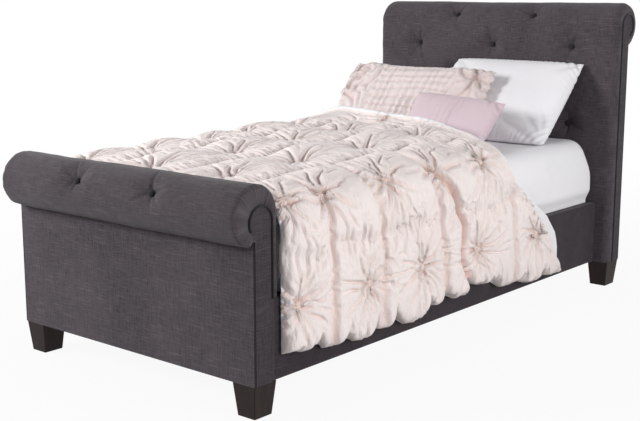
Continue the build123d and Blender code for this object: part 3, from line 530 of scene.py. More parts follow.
def roll_profile(face_y, face_low_z, centre, core_centre, core_y, sweep, out):
    """Places on the padding's outside and inside, from the face's foot up and round the roll.

    out is the face's outward direction along Y, and sweep is how far round the roll the padding goes.
    """
    straight = centre[1] - face_low_z
    length = straight + ROLL_RADIUS * sweep
    p = np.linspace(0, length, int(length / PAD_STEP) + 1)
    angle = np.clip((p - straight) / ROLL_RADIUS, 0, None)
    on_face = p < straight
    normal = np.stack([out * np.cos(angle), np.sin(angle)], axis=1)
    outer = np.array(centre) + ROLL_RADIUS * normal
    outer[on_face] = np.stack([np.full(on_face.sum(), face_y), face_low_z + p[on_face]], axis=1)
    toward = outer - np.array(core_centre)
    inner = np.array(core_centre) + CORE_RADIUS * toward / np.linalg.norm(toward, axis=1)[:, None]
    inner[on_face, 0] = core_y
    inner[on_face, 1] = outer[on_face, 1]
    return p, outer, inner, normal


def tuft_shape(x, p, tufts, rng):
    """How far the cloth is drawn in by its buttons, with the short creases that run out of each one."""
    drawn = np.zeros(x.shape)
    for tuft_x, tuft_p in tufts:
        dx, dp = x - tuft_x, p - tuft_p
        distance = np.hypot(dx, dp)
        dip = np.clip(1 - np.maximum(distance, BUTTON_SEAT) / TUFT_REACH, 0, 1) ** TUFT_SWEEP
        drawn = np.maximum(drawn, TUFT_DEPTH * dip)
        turn = rng.uniform(0, 2 * pi)
        for ray in range(CREASE_COUNT):
            heading = turn + ray * 2 * pi / CREASE_COUNT + rng.uniform(-CREASE_STRAY, CREASE_STRAY)
            reach = rng.uniform(*CREASE_REACH_MM) * MM
            along, aside = along_line(dx, dp, (cos(heading), sin(heading)))
            fade = rise_and_fall(along, CREASE_FROM, (CREASE_FADES_AT * reach, reach))
            drawn = drawn + CREASE_DEPTH * rng.uniform(*CREASE_SHARES) * fade * bell(aside, CREASE_WIDTH)
    return drawn


def upholstered(name, node, half_width, edge_radius, profile, tufts, seed):
    """A padded roll in one closed mesh: cloth over the outside, rounded ends, and its back on the frame."""
    rng = np.random.default_rng(seed)
    p, outer, inner, normal = profile
    flat = half_width - edge_radius
    turn = np.linspace(0, pi / 2, PAD_EDGE_STEPS + 1)[1:]
    arc_x, arc_in = flat + edge_radius * np.sin(turn), edge_radius * (1 - np.cos(turn))
    face_x = np.linspace(-flat, flat, int(2 * flat / PAD_STEP) + 1)
    x = np.concatenate([-arc_x[::-1], face_x, arc_x])
    inset = np.concatenate([arc_in[::-1], 0 * face_x, arc_in])
    grid_x, grid_p = np.meshgrid(x, p)
    drawn = tuft_shape(grid_x, grid_p, tufts, rng)
    uneven = layered_noise(grid_x.shape, PAD_UNEVEN, rng)
    pucker = bell(half_width - np.abs(grid_x), PUCKER_REACH)
    drawn = drawn + uneven + PUCKER_DEPTH * pucker * soft_noise(grid_x.shape, PUCKER_CELLS, rng)
    held = smooth_step(np.abs(grid_x), half_width - PAD_EDGE_HELD, half_width)
    drawn = np.clip(drawn, -PAD_SWELL, None) * (1 - held)
    thick = np.linalg.norm(outer - inner, axis=1)
    share = np.clip(inset[None, :] / thick[:, None], 0, PAD_EDGE_MOST)
    yz = outer[:, None] + (inner - outer)[:, None] * share[..., None] - normal[:, None] * drawn[..., None]
    skin = np.concatenate([grid_x[..., None], yz], axis=2)
    edge = half_width - PAD_BACK_INSET
    back = [np.concatenate([np.full((len(p), 1, 1), bx), inner[:, None]], axis=2) for bx in (edge, 0, -edge)]
    loop = np.concatenate([skin] + back, axis=1)
    weave = np.stack(np.broadcast_arrays(loop[..., 0], p[:, None]), axis=-1)
    piece = add_piece(name, loop, tube_faces(loop.shape), [linen_cloth], "frame", "charcoal_linen",
                      weave=weave)
    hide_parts(node)


def core_of(node):
    """The middle of a roll's tube, along Y and Z."""
    low, high = spread(node)
    return (low[1:] + high[1:]) / 2


def head_pad():
    low, high = spread("headboard_pad")
    centre = core_of("headboard_roll_former")
    post_front = spread("headboard_front_board")[0][1]
    profile = roll_profile(low[1], low[2], centre, centre, post_front, HEAD_SWEEP, -1)
    roll_p = centre[1] - low[2] + ROLL_RADIUS * radians(HEAD_ROLL_TUFT_ANGLE)
    tufts = [(side * HEAD_TUFT_X / 2, roll_p) for side in (-1, 1)]
    for row, z in enumerate(HEAD_TUFT_ROWS_Z):
        columns = (-1, 0, 1) if row % 2 == 0 else (-0.5, 0.5)
        tufts += [(c * HEAD_TUFT_X, z - low[2]) for c in columns]
    upholstered("headboard_padding", "headboard_pad", high[0], HEAD_EDGE_RADIUS, profile, tufts, SEED + 1)


def foot_pad():
    low, high = spread("footboard_pad")
    core = core_of("footboard_roll_former")
    centre = np.array([high[1] - ROLL_RADIUS, high[2] - ROLL_RADIUS])
    inner_y = spread("footboard_inner_board")[1][1]
    profile = roll_profile(high[1], low[2], centre, core, inner_y, FOOT_SWEEP, 1)
    roll_p = centre[1] - low[2] + ROLL_RADIUS * radians(180 - FOOT_TUFT_ANGLE)
    tufts = [(side * FOOT_TUFT_X, roll_p) for side in (-1, 1)]
    upholstered("footboard_padding", "footboard_pad", high[0], FOOT_EDGE_RADIUS, profile, tufts, SEED + 2)


RAIL_CORNER = 7 * MM
RAIL_CORNER_STEPS = 4
RAIL_FACE_STEPS = 26
RAIL_LENGTH_STEPS = 180
RAIL_WALL = 6 * MM
RAIL_TURN_IN = RAIL_WALL * 0.8
RAIL_BEHIND = RAIL_WALL * 1.3
RAIL_END_GAP = 0.3 * MM
RAIL_SWELL = ((1.2 * MM, (22, 5)), (0.8 * MM, (70, 6)))
RAIL_SWELL_LIMITS = (-1.5 * MM, 0.8 * MM)
RAIL_FACE_HALF = 0.11


def rail_padding(hand, side):
    """The fabric over one side rail: soft corners, turned in over the top and bottom edges of the board."""
    rng = np.random.default_rng(SEED + 3 + side)
    low, high = spread(f"{hand}_rail_cover")
    inner_x, outer_x = (low[0], high[0]) if side > 0 else (-high[0], -low[0])
    turn = np.linspace(0, pi / 2, RAIL_CORNER_STEPS + 1)
    near, far = RAIL_CORNER * (1 - np.sin(turn)), RAIL_CORNER * (1 - np.cos(turn))
    top = list(zip(outer_x - near, high[2] - far))
    bottom = list(zip(outer_x - far, low[2] + near))
    face_z = np.linspace(top[-1][1], bottom[0][1], RAIL_FACE_STEPS)[1:-1]
    behind_x, fold_low, fold_high = outer_x - RAIL_BEHIND, low[2] + RAIL_TURN_IN, high[2] - RAIL_TURN_IN
    turn_in = [(inner_x, low[2]), (inner_x, fold_low), (behind_x, fold_low), (behind_x, fold_high),
               (inner_x, fold_high)]
    section = np.array([(inner_x, high[2])] + top + [(outer_x, z) for z in face_z] + bottom + turn_in)
    y = np.linspace(low[1] + RAIL_END_GAP, high[1] - RAIL_END_GAP, RAIL_LENGTH_STEPS)
    loop = np.stack(np.broadcast_arrays(section[:, 0], y[:, None], section[:, 1]), axis=-1)
    swell = layered_noise(loop.shape[:2], RAIL_SWELL, rng)
    upright = np.abs(section[:, 1] - (low[2] + high[2]) / 2) < RAIL_FACE_HALF
    on_face = (section[:, 0] > outer_x - RAIL_CORNER) & upright
    loop[..., 0] += np.where(on_face, np.clip(swell, *RAIL_SWELL_LIMITS), 0)
    loop[..., 0] *= side
    around = np.concatenate([[0], np.cumsum(np.linalg.norm(np.diff(section, axis=0), axis=1))])
    weave = np.stack(np.broadcast_arrays(loop[..., 1], -around[None, :]), axis=-1)
    faces = [face[::side] for face in tube_faces(loop.shape)]
    # The rail's linen is the darker copy of the charcoal linen: painted shade.
    piece = add_piece(f"{hand}_rail_padding", loop, faces, [linen_painted_shade_rail], "frame", "charcoal_linen",
                      weave=weave)
    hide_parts(f"{hand}_rail_cover")


# Cloth

STRETCH, SHEAR, BEND = 0.9, 0.45, 0.06
CLOTH_STEPS = {(0, 1): STRETCH, (1, 0): STRETCH, (1, 1): SHEAR, (1, -1): SHEAR, (0, 2): BEND, (2, 0): BEND}
MOMENTUM = 0.85
GATHER_TAKE_UP = 58 * MM
GATHER_CORE = 16 * MM
GATHER_REACH = 150 * MM
KNOT_HELD = 8 * MM
PLEAT_REACH = 140 * MM
FOLD_BLUR = 10
FOLD_DEEP = 5 * MM


def dot(a, b):
    return np.einsum("...i,...i", a, b)


def thread_ends(shape, step):
    """Where on a grid the two ends are of every thread that spans a step of rows and columns."""
    rows, columns = step
    low = np.s_[:shape[0] - rows, max(0, -columns):shape[1] - max(0, columns)]
    high = np.s_[rows:, max(0, columns):shape[1] + min(0, columns)]
    return low, high


def thread_views(grid, step):
    """Views of a grid of layered cloth at the two ends of its threads."""
    return [grid[(np.s_[:], *end)] for end in thread_ends(grid.shape[1:3], step)]


def pair_views(grid, step):
    """The two ends of every thread that spans a step, in groups that share no point."""
    low, high = thread_views(grid, step)
    rows, columns = step
    groups = 2 * (rows or columns)
    for first in range(groups):
        group = np.s_[:, first::groups] if rows else np.s_[:, :, first::groups]
        yield low[group], high[group], group


def thread_lengths(grid):
    """The present length of every thread of a cloth, by the step that it spans."""
    lengths = {}
    for step in CLOTH_STEPS:
        low, high = thread_views(grid, step)
        lengths[step] = np.linalg.norm(high - low, axis=-1)
    return lengths


def simulate(cloth, lengths, steps, settle):
    """Cloth let go with threads of given lengths, by position-based dynamics; settle holds and pushes it."""
    cloth = cloth.astype(np.float32)
    lengths = {step: length.astype(np.float32) for step, length in lengths.items()}
    before = cloth.copy()
    for _ in range(steps):
        after = cloth + MOMENTUM * (cloth - before)
        before = cloth
        cloth = after
        for step, stiffness in CLOTH_STEPS.items():
            for low, high, group in pair_views(cloth, step):
                run = high - low
                length = np.sqrt(dot(run, run)) + 1e-9
                pull = (0.5 * stiffness * (1 - lengths[step][group] / length))[..., None] * run
                low += pull
                high -= pull
        cloth = settle(cloth)
    return cloth.astype(float)


def normals(grid):
    """Unit normals of a grid of points, with rows crossed by columns."""
    across = np.gradient(grid, axis=2)
    along = np.gradient(grid, axis=1)
    normal = np.cross(across, along)
    return normal / (np.linalg.norm(normal, axis=-1, keepdims=True) + 1e-12)


def blurred(field, passes):
    """A grid of numbers, smoothed by so many passes over its neighbours."""
    for _ in range(passes):
        padded = np.pad(field, 1, mode="edge")
        field = (padded[1:-1, 1:-1] * 2 + padded[:-2, 1:-1] + padded[2:, 1:-1]
                 + padded[1:-1, :-2] + padded[1:-1, 2:]) / 6
    return field


def hollow(rise, start=0):
    """How far each place lies below the places round it, past a start, as a share of a deep fold."""
    return np.clip((blurred(rise, FOLD_BLUR) - rise - start) / FOLD_DEEP, 0, 1)


def knot_distances(a, b, knots):
    """How far each place is from each knot."""
    far = [np.hypot(a - knot_a, b - knot_b) for knot_a, knot_b, _ in knots]
    return np.array(far).reshape(-1, *a.shape)


def gathered(lengths, across, along, knots, seams, slack):
    """Threads made longer where cloth is gathered: round each knot, and along each seam.

    Cloth drawn into a knot keeps its full length round it, so the threads that circle the knot are too long
    for their room and stand up in folds that run to it. Across a gathered seam the folds are parallel.
    """
    longer = {}
    for step, length in lengths.items():
        low, high = thread_ends(across.shape, step)
        run_a, run_b = across[high] - across[low], along[high] - along[low]
        mid_a, mid_b = (across[high] + across[low]) / 2, (along[high] + along[low]) / 2
        extra = np.zeros(run_a.shape)
        for knot_a, knot_b, strength in knots:
            from_a, from_b = mid_a - knot_a, mid_b - knot_b
            distance = np.hypot(from_a, from_b) + 1e-6
            circling = (from_a * run_b - from_b * run_a) / distance
            growth = strength * GATHER_TAKE_UP / (distance + GATHER_CORE) * bell(distance, GATHER_REACH)
            extra += ((1 + growth) ** 2 - 1) * circling ** 2
        for seam_a, width, strength in seams:
            growth = strength * bell(mid_a - seam_a, width)
            extra += ((1 + growth) ** 2 - 1) * run_b ** 2
        longer[step] = np.sqrt(length ** 2 * (1 + slack) ** 2 + extra[None])
    return longer


def drawn_to_knot(a, b, knots):
    """The way to each place from the knot nearest to it, and how strongly that knot draws it."""
    ways = np.stack([np.stack([a - knot_a, b - knot_b], axis=-1) for knot_a, knot_b, _ in knots])
    far = np.linalg.norm(ways, axis=-1)
    order = np.sort(far, axis=0)
    alone = np.clip(2 * (1 - order[0] / order[1]), 0, 1)
    nearest = np.argmin(far, axis=0)
    way = np.take_along_axis(ways, nearest[None, ..., None], axis=0)[0]
    return way, alone * (1 - smooth_step(order[0], 0, PLEAT_REACH))


# Comforter

QUILT_STEP = 5.5 * MM
QUILT_LINING_EVERY = 4
QUILT_HALF = 930 * MM
QUILT_LENGTH = 1.45
QUILT_HEM_FROM = 800 * MM
QUILT_SHOULDER = 70 * MM
QUILT_EDGE = 42 * MM
QUILT_GAP_X, QUILT_GAP_Y, QUILT_GAP_Z = 4 * MM, 1 * MM, 1 * MM
QUILT_KNOT_ROWS = (
    (-0.725, (-0.80, -0.49, -0.18, 0.14, 0.42)),
    (-0.415, (-0.90, -0.628, -0.360, -0.130, 0.17)),
    (-0.105, (-0.866, -0.50, -0.200, 0.10, 0.36)),
    (0.200, (-0.835, -0.510, -0.170, 0.16)),
    (0.505, (-0.936, -0.769, -0.466, -0.192, 0.083)),
    (0.790, (-0.924, -0.594, -0.305, 0.026, 0.400)),
)
QUILT_SEAMS = (-0.57, -0.26, 0.05, 0.352, 0.648)
SEAM_WIDTH = 42 * MM
SEAM_GATHER = 0.5
HEM_GATHER = 0.6 * SEAM_GATHER
QUILT_SLACK = 0.02
HEM_NOTCHES_Y = (-1.00, -0.84, -0.715, -0.565, -0.467, -0.28, -0.177, -0.02, 0.14, 0.30, 0.45, 0.65)
HEM_NOTCHES_Z = (0.192, 0.205, 0.189, 0.205, 0.205, 0.195, 0.207, 0.220, 0.190, 0.168, 0.165, 0.160)
HEM_LOBES_Z = (0.185, 0.169, 0.155, 0.165, 0.151, 0.181, 0.181, 0.196, 0.158, 0.140, 0.138)
HEM_SKEW = 1.35
HEM_SHARPNESS = 1.5
HEM_ROLL = 12 * MM
# Each valley's places round the section, its places along the bed there, and its strength
QUILT_VALLEYS = (
    ((0.38, 0.50, 0.60, 0.69, 0.81, 0.93), (-0.258, -0.192, -0.113, -0.069, -0.064, 0.0), 0.9),
    ((0.50, 0.67, 0.79, 0.93), (-0.235, -0.200, -0.183, -0.178), 0.5),
    ((0.50, 0.60, 0.735, 0.93), (-0.545, -0.533, -0.508, -0.517), 0.5),
    ((0.50, 0.61, 0.79, 0.93), (-0.775, -0.773, -0.765, -0.770), 0.5),
    ((0.50, 0.61, 0.79, 0.93), (0.20, 0.23, 0.25, 0.26), 0.4),
)
VALLEY_FROM_S = (0.36, 0.50)
VALLEY_WIDTHS = (32 * MM, 9 * MM)
HEAD_EDGE_S = (-0.93, -0.571, -0.40, 0.38, 0.50, 0.563, 0.626, 0.704, 0.795, 0.828, 0.913, 0.93)
HEAD_EDGE_Y = (0.525, 0.4855, 0.4855, 0.29, 0.20, 0.235, 0.325, 0.400, 0.485, 0.518, 0.604, 0.6195)
HEAD_EDGE_BLUR = 8
FLAP_EDGE_S = (0.57, 0.648, 0.69, 0.752, 0.833, 0.886, 0.93)
FLAP_EDGE_Y = (0.24, 0.392, 0.454, 0.552, 0.626, 0.640, 0.642)
LINING_ROWS = 7
LINING_TO_S = 0.60
LINING_RISE = 1.2
LIP_RISE = 34 * MM
LIP_AT = 20 * MM
LIP_WIDTH = 17 * MM
LIP_SIDE_SHARE = 0.3
LIP_SIDE_S = (0.06, 0.46)
LIP_PLAIN = (45 * MM, 120 * MM)
LIP_CALM_WAVES, LIP_CALM_ROOM = 0.8, 0.7
QUILT_LOFT_FOOT = 46 * MM
QUILT_LOFT_HEAD = 94 * MM
QUILT_LOFT_SIDE = 46 * MM
QUILT_THIN = 4 * MM
SIDE_FROM_S, SIDE_TO_S = 0.38, 0.60
SIDE_SOONER_S, SIDE_SOONER_Y = 0.30, (-0.2, 0.3)
KNOT_PULL, KNOT_PULL_REACH, KNOT_PULL_POWER = 0.58, 70 * MM, 1.4
SEAM_PULL, SEAM_PULL_REACH = 0.26, 26 * MM
SEAM_SWAY, SEAM_SWAY_PITCH = 12 * MM, 0.31
PUFF_UNEVEN, PUFF_CELLS = 0.14, (11, 14)
QUILT_STEPS, QUILT_QUICK_STEPS = 320, 3
QUILT_DRIFT = 8 * MM
QUILT_LIFT = 0.04 * MM
QUILT_LEAST = 3 * MM
FOLD_SEED = 3.0 * MM
FOLD_JITTER = 0.5 * MM
FOLD_ROOM = 7.0 * MM
FOLD_ROOM_AT_RIM = 0.35
RAY_COUNTS = (17, 24)
RAY_SWING, RAY_SWINGS = 1.4, 3
RAY_REACH = 110 * MM
RAY_FROM = (10 * MM, 40 * MM)
PLEAT_PITCH = 27 * MM
PLEAT_SWAY, PLEAT_SWAY_CELLS = 6, (40, 14)
PLEAT_MEAN, PLEAT_BUNCHING, PLEAT_BUNCH_CELLS = 0.55, 0.45, (26, 20)
PLEAT_SPREAD = 1.2
WAVE_MOST = 1.2
DOUBLED_BELOW, DOUBLED_SHARE = 0.2, 3
DOUBLED_BLUR, DOUBLED_SMOOTHING = 2, 3
# Painted shade for the comforter's colour: in its hollows, round its knots and down its valleys
FOLD_FROM = 1 * MM
FOLD_SHADE = 0.25
KNOT_FOLD_SHADE, KNOT_FOLD_REACH = 0.5, 60 * MM
KNOT_SHADE, KNOT_SHADE_REACH = 0.6, 18 * MM
VALLEY_SHADE = 0.85


def quilted_bed():
    """Half the width and the height of what the comforter lies on."""
    return spread("right_rail_cover")[1][0] + QUILT_GAP_X, SHEET_HIGH[2] + QUILT_GAP_Z


def quilt_section(s, half_width, top_z):
    """Places and outward directions round the made bed's section, from its middle (0) down each side."""
    flat = half_width - QUILT_SHOULDER
    bend = np.clip((np.abs(s) - flat) / QUILT_SHOULDER, 0, pi / 2)
    drop = np.clip(np.abs(s) - flat - QUILT_SHOULDER * pi / 2, 0, None)
    x = np.minimum(np.abs(s), flat) + QUILT_SHOULDER * np.sin(bend)
    z = top_z - QUILT_SHOULDER * (1 - np.cos(bend)) - drop
    sign = np.where(s < 0, -1.0, 1.0)
    return x * sign, z, np.sin(bend) * sign, np.cos(bend)


def fold_seeds(s, y, knots, rng):
    """Small waves that start the folds: rays out of each knot, and pleats across each gathered seam."""
    wave = np.zeros(s.shape)
    for knot_s, knot_y, _ in knots:
        distance = np.hypot(s - knot_s, y - knot_y)
        heading = np.arctan2(y - knot_y, s - knot_s)
        rays = rng.integers(*RAY_COUNTS)
        start, bend = rng.uniform(0, 2 * pi, 2)
        ripple = np.cos(rays * heading + start + RAY_SWING * np.sin(RAY_SWINGS * heading + bend))
        wave += ripple * bell(distance, RAY_REACH) * smooth_step(distance, *RAY_FROM)
    sway = soft_noise(s.shape, PLEAT_SWAY_CELLS, rng)
    bunch = PLEAT_MEAN + PLEAT_BUNCHING * soft_noise(s.shape, PLEAT_BUNCH_CELLS, rng)
    for seam_s in QUILT_SEAMS + (-QUILT_HALF, QUILT_HALF):
        pleat = bunch * np.cos(2 * pi * y / PLEAT_PITCH + PLEAT_SWAY * sway)
        wave += pleat * bell(s - seam_s, PLEAT_SPREAD * SEAM_WIDTH)
    return np.clip(wave, -WAVE_MOST, WAVE_MOST)


def valleys(s, y):
    """How deep the quilt's near side is drawn in along the creases that run down it between the puffs."""
    depth = np.zeros(s.shape)
    for line_s, line_y, strength in QUILT_VALLEYS:
        past = y - np.interp(s, line_s, line_y)
        width = np.where(past < 0, *VALLEY_WIDTHS)
        depth = np.maximum(depth, strength * bell(past, width))
    return depth * smooth_step(s, *VALLEY_FROM_S)


def hem_reach(y):
    """How far round the section the scalloped hem reaches at each place along the bed."""
    notches = np.array(HEM_NOTCHES_Y)
    lobe = np.clip(np.searchsorted(notches, y) - 1, 0, len(notches) - 2)
    share = np.clip((y - notches[lobe]) / (notches[lobe + 1] - notches[lobe]), 0, 1)
    notch_z = np.interp(y, notches, HEM_NOTCHES_Z)
    lobe_z = np.array(HEM_LOBES_Z)[lobe]
    hem_z = lobe_z + (notch_z - lobe_z) * (1 - np.sin(pi * share ** HEM_SKEW)) ** HEM_SHARPNESS
    half_width, top_z = quilted_bed()
    return half_width + (pi / 2 - 2) * QUILT_SHOULDER + top_z - hem_z + HEM_ROLL


def quilt_places(length):
    """How many places the quilt has along a length: a whole number of the lining's steps, and one more."""
    return int(length / QUILT_STEP) // QUILT_LINING_EVERY * QUILT_LINING_EVERY + 1


def quilt_layout():
    """The comforter's places, s round the bed's section and y along it, and how far each is from the rim."""
    low, _ = spread("comforter")
    s_line = np.linspace(-QUILT_HALF, QUILT_HALF, quilt_places(2 * QUILT_HALF))
    foot_y = low[1] + QUILT_GAP_Y
    head_y = np.interp(s_line, HEAD_EDGE_S, HEAD_EDGE_Y)
    window = 2 * HEAD_EDGE_BLUR + 1
    head_y = np.convolve(np.pad(head_y, HEAD_EDGE_BLUR, mode="edge"), np.ones(window) / window, mode="valid")
    y = foot_y + (head_y[None, :] - foot_y) * np.linspace(0, 1, quilt_places(QUILT_LENGTH))[:, None]
    hem = hem_reach(y)
    s = np.broadcast_to(s_line, y.shape)
    past = np.clip(np.abs(s) - QUILT_HEM_FROM, 0, None) / (QUILT_HALF - QUILT_HEM_FROM)
    s = np.where(past > 0, np.sign(s) * (QUILT_HEM_FROM + past * (hem - QUILT_HEM_FROM)), s)
    to_rim = np.minimum(np.minimum(y - foot_y, head_y[None, :] - y), hem - np.abs(s))
    return s, y, to_rim


def quilt_puff(s, y, nearest, valley, by_lip, rng):
    """How full the quilt is: drawn in at knots, seams and valleys, and plain along its turned-back lip."""
    sway = SEAM_SWAY * np.sin(y * 2 * pi / SEAM_SWAY_PITCH)
    seam = np.min([np.abs(s - seam_s - sway) for seam_s in QUILT_SEAMS], axis=0)
    puff = 1 - KNOT_PULL * bell(nearest, KNOT_PULL_REACH, KNOT_PULL_POWER)
    puff = puff * (1 - SEAM_PULL * bell(seam, SEAM_PULL_REACH))
    puff = puff * (1 + PUFF_UNEVEN * soft_noise(s.shape, PUFF_CELLS, rng))
    puff = puff * (1 - valley)
    return puff + (1 - puff) * by_lip


def quilt_loft(s, y):
    """How thick the filling is: more toward the head, less down the sides."""
    sooner = SIDE_SOONER_S * smooth_step(y, *SIDE_SOONER_Y)
    side_from = np.where(s > 0, SIDE_FROM_S - sooner, SIDE_FROM_S)
    on_side = smooth_step(np.abs(s), side_from, SIDE_TO_S)
    climb = np.clip((y - y.min()) / QUILT_LENGTH, 0, 1)
    on_top = QUILT_LOFT_FOOT + (QUILT_LOFT_HEAD - QUILT_LOFT_FOOT) * climb
    return on_top * (1 - on_side) + QUILT_LOFT_SIDE * on_side


def quilt_painted_shade(rise, nearest, valley):
    """Painted shade for each place of the settled quilt, by how deep it lies in a fold, near a knot or in a
    valley.
    """
    shade = FOLD_SHADE + KNOT_FOLD_SHADE * bell(nearest, KNOT_FOLD_REACH)
    fold = hollow(rise, FOLD_FROM) * shade + KNOT_SHADE * bell(nearest, KNOT_SHADE_REACH)
    return np.clip(fold + VALLEY_SHADE * valley ** 2, 0, 1)


def quilt():
    """The ruched top, let go on the bed and held down at its knots.

    Gives its places, what it lies on, the outward directions, the knots, s, y and the painted shade of its
    folds.
    """
    rng = np.random.default_rng(SEED + 10)
    s, y, to_rim = quilt_layout()
    x, z, out_x, out_z = quilt_section(s, *quilted_bed())
    base = np.stack([x, y, z], axis=-1)
    out = np.stack([out_x, np.zeros(x.shape), out_z], axis=-1)
    knots = [(row_s, knot_y, 1.0) for row_s, places in QUILT_KNOT_ROWS for knot_y in places]
    nearest = knot_distances(s, y, knots).min(axis=0)
    rim = np.sqrt(1 - (1 - np.clip(to_rim / QUILT_EDGE, 0, 1)) ** 2)
    valley = valleys(s, y)
    to_head = y[-1:] - y
    lip = LIP_RISE * bell(to_head - LIP_AT, LIP_WIDTH)
    lip = lip * (1 - (1 - LIP_SIDE_SHARE) * smooth_step(s, *LIP_SIDE_S))
    by_lip = 1 - smooth_step(to_head, *LIP_PLAIN)
    puff = quilt_puff(s, y, nearest, valley, by_lip, rng)
    height = QUILT_THIN + (quilt_loft(s, y) * puff + lip) * rim
    filled = base + out * height[..., None]
    seams = [(seam_s, SEAM_WIDTH, SEAM_GATHER) for seam_s in QUILT_SEAMS]
    seams += [(side * QUILT_HALF, SEAM_WIDTH, HEM_GATHER) for side in (-1, 1)]
    lengths = gathered(thread_lengths(filled[None]), s, y, knots, seams, QUILT_SLACK)
    waves = FOLD_SEED * fold_seeds(s, y, knots, rng) + FOLD_JITTER * rng.standard_normal(s.shape)
    start = filled + out * (waves * rim * (1 - LIP_CALM_WAVES * by_lip))[..., None]

    held = nearest < KNOT_HELD
    held_at = filled[held].astype(np.float32)
    base32, out32 = base[None].astype(np.float32), out[None].astype(np.float32)
    lift = (QUILT_LIFT * rim)[None, ..., None].astype(np.float32) * out32
    room = FOLD_ROOM * (FOLD_ROOM_AT_RIM + (1 - FOLD_ROOM_AT_RIM) * rim) * (1 - LIP_CALM_ROOM * by_lip)
    least = np.maximum(QUILT_LEAST, height - room)[None].astype(np.float32)
    most = (height + room)[None].astype(np.float32)

    def settle(cloth):
        """Lift the cloth by its filling, and keep it near its place and at its knots."""
        cloth = cloth + lift
        away = cloth - base32
        rise = dot(away, out32)
        slide = away - rise[..., None] * out32
        far = np.sqrt(dot(slide, slide)) + 1e-9
        slide *= np.minimum(1, QUILT_DRIFT / far)[..., None]
        rise = np.clip(rise, least, most)
        cloth = base32 + slide + rise[..., None] * out32
        cloth[0][held] = held_at
        return cloth

    cloth = simulate(start[None], lengths, QUILT_STEPS, settle)[0]
    # Folds that lie over on themselves are smoothed out
    doubled = dot(normals(cloth[None])[0], out) < DOUBLED_BELOW
    doubled = np.clip(DOUBLED_SHARE * blurred(doubled.astype(float), DOUBLED_BLUR), 0, 1)[..., None]
    smoother = np.stack([blurred(cloth[..., axis], DOUBLED_SMOOTHING) for axis in range(3)], axis=-1)
    cloth += doubled * (smoother - cloth)
    # Painted shade, from how deep each place lies in a fold
    fold = quilt_painted_shade(dot(cloth - base, out), nearest, valley)
    return cloth, base, out, knots, s, y, fold


# Each ring's radius and rise in millimetres
ROSETTE_RINGS = ((0.0, 8.0), (5.0, 8.5), (10.0, 5.5), (15.0, -3.0))
ROSETTE_POINTS = 28
ROSETTE_FRILLS = 7
ROSETTE_FRILL_REACH = 0.22
ROSETTE_FRILL_RISE, ROSETTE_FRILL_RADIUS = 2.4, 10
ROSETTE_SWING = 0.8
ROSETTE_SHADE, ROSETTE_FRILL_SHADE = 0.55, 0.35


def rosettes(cloth, out, knots, s, y, first):
    """The small frilled nub of cloth that stands out of every knot, and its painted shade, darker between
    frills.
    """
    rng = np.random.default_rng(SEED + 11)
    points, faces, depth = [], [], []
    turn = np.linspace(0, 2 * pi, ROSETTE_POINTS, endpoint=False)
    for distance in knot_distances(s, y, knots):
        row, column = np.unravel_index(np.argmin(distance), distance.shape)
        if distance[row, column] > 2 * QUILT_STEP:
            continue
        middle, up = cloth[row, column], out[row, column]
        along = np.array([0.0, 1.0, 0.0])
        aside = np.cross(up, along)
        phase = rng.uniform(0, 2 * pi)
        frill = np.cos(ROSETTE_FRILLS * turn + phase + ROSETTE_SWING * np.sin(2 * turn + phase))
        nub_first = first + len(points) * ROSETTE_POINTS
        for radius, rise in ROSETTE_RINGS:
            reach = radius * MM * (1 + ROSETTE_FRILL_REACH * frill)
            full = min(radius, ROSETTE_FRILL_RADIUS)
            lifted = (rise + ROSETTE_FRILL_RISE * frill * full / ROSETTE_FRILL_RADIUS) * MM
            points.append(middle + np.outer(reach * np.cos(turn), aside)
                          + np.outer(reach * np.sin(turn), along) + np.outer(lifted, up))
            # Painted shade on the nub, darkest between its frills
            depth.append(ROSETTE_SHADE - ROSETTE_FRILL_SHADE * frill)
        faces += ring_faces((len(ROSETTE_RINGS), ROSETTE_POINTS), nub_first)
    return np.concatenate(points), [face[::-1] for face in faces], np.concatenate(depth)


